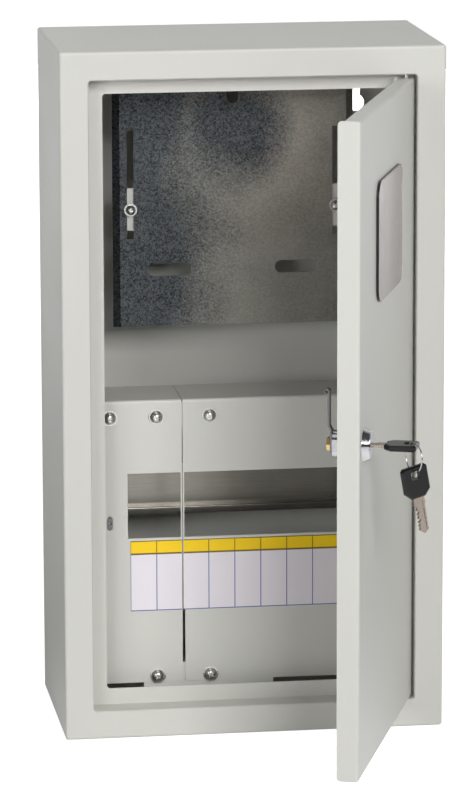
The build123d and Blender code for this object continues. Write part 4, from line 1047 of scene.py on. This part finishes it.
class ENCLOSURE_OT_studio(bpy.types.Operator):
    """Set the floor, lamps, room and camera"""

    bl_idname = "enclosure.studio"
    bl_label = "Set up the studio"

    def execute(self, context):
        studio = context.scene.enclosure_studio
        bpy.ops.object.select_all(action="DESELECT")
        bpy.ops.mesh.primitive_plane_add(size=FLOOR_SIZE, location=(0, 0, CAD_BOX[0].z - FLOOR_GAP))
        floor = context.object
        floor.name = "studio_floor"
        floor.data.materials.append(pale_floor())

        # Width and height in metres, degrees round from the front and up, and metres away
        for name, watts, width, height, azimuth, elevation, distance in (
            ("key_lamp", studio.key, 1.2, 1.2, 9, 23, 3.4),
            ("back_lamp", studio.back, 1.4, 1.4, 165, 5, 3.4),
            ("side_lamp", studio.side, 1.2, 1.4, 78, 10, 3.4),
            ("left_lamp", studio.left, 1.0, 0.6, -32, 10, 2.4),
            ("far_left_lamp", studio.far_left, 0.5, 0.5, -84, 62, 0.9),
            ("top_lamp", studio.top, 1.4, 1.4, 0, 72, 2.4),
        ):
            if watts:
                lamp = hang_lamp(name, watts, width, height, radians(azimuth), radians(elevation), distance)
                lamp.visible_glossy = name != "back_lamp"

        context.scene.world = pale_room(studio.room)
        bpy.ops.object.camera_add(location=studio.camera_place, rotation=studio.camera_turn)
        camera = context.object
        camera.name = "studio_camera"
        camera.data.lens = studio.lens
        camera.data.sensor_width = CAMERA_SENSOR
        camera.data.clip_start, camera.data.clip_end = CAMERA_CLIP
        context.scene.camera = camera
        context.scene.view_settings.view_transform = "Standard"
        return {"FINISHED"}


class ENCLOSURE_PT_sidebar(bpy.types.Panel):
    """Settings and steps of the enclosure"""

    bl_idname = "ENCLOSURE_PT_sidebar"
    bl_label = "Electrical enclosure"
    bl_space_type = "VIEW_3D"
    bl_region_type = "UI"
    bl_category = "Enclosure"

    def draw(self, context):
        column = self.layout.column()
        for operator in STEPS:
            column.operator(operator.bl_idname)
        scene = context.scene
        for settings in (scene.enclosure_finish, scene.enclosure_label, scene.enclosure_studio):
            column.separator()
            for name in settings.__annotations__:
                column.prop(settings, name)


STEPS = (
    ENCLOSURE_OT_paint,
    ENCLOSURE_OT_zinc,
    ENCLOSURE_OT_fittings,
    ENCLOSURE_OT_screws,
    ENCLOSURE_OT_split_ring,
    ENCLOSURE_OT_key_heads,
    ENCLOSURE_OT_labels,
    ENCLOSURE_OT_pane,
    ENCLOSURE_OT_studio,
)
CLASSES = (EnclosureFinish, EnclosureLabel, EnclosureStudio, *STEPS, ENCLOSURE_PT_sidebar)


def register():
    for cls in CLASSES:
        bpy.utils.register_class(cls)
    bpy.types.Scene.enclosure_finish = bpy.props.PointerProperty(type=EnclosureFinish)
    bpy.types.Scene.enclosure_label = bpy.props.PointerProperty(type=EnclosureLabel)
    bpy.types.Scene.enclosure_studio = bpy.props.PointerProperty(type=EnclosureStudio)


def unregister():
    del bpy.types.Scene.enclosure_studio
    del bpy.types.Scene.enclosure_label
    del bpy.types.Scene.enclosure_finish
    for cls in reversed(CLASSES):
        bpy.utils.unregister_class(cls)


def main():
    register()
    bpy.ops.enclosure.paint()
    bpy.ops.enclosure.zinc()
    bpy.ops.enclosure.fittings()
    bpy.ops.enclosure.screws()
    bpy.ops.enclosure.split_ring()
    bpy.ops.enclosure.key_heads()
    bpy.ops.enclosure.labels()
    bpy.ops.enclosure.pane()
    bpy.ops.enclosure.studio()


if __name__ == "__main__":
    main()
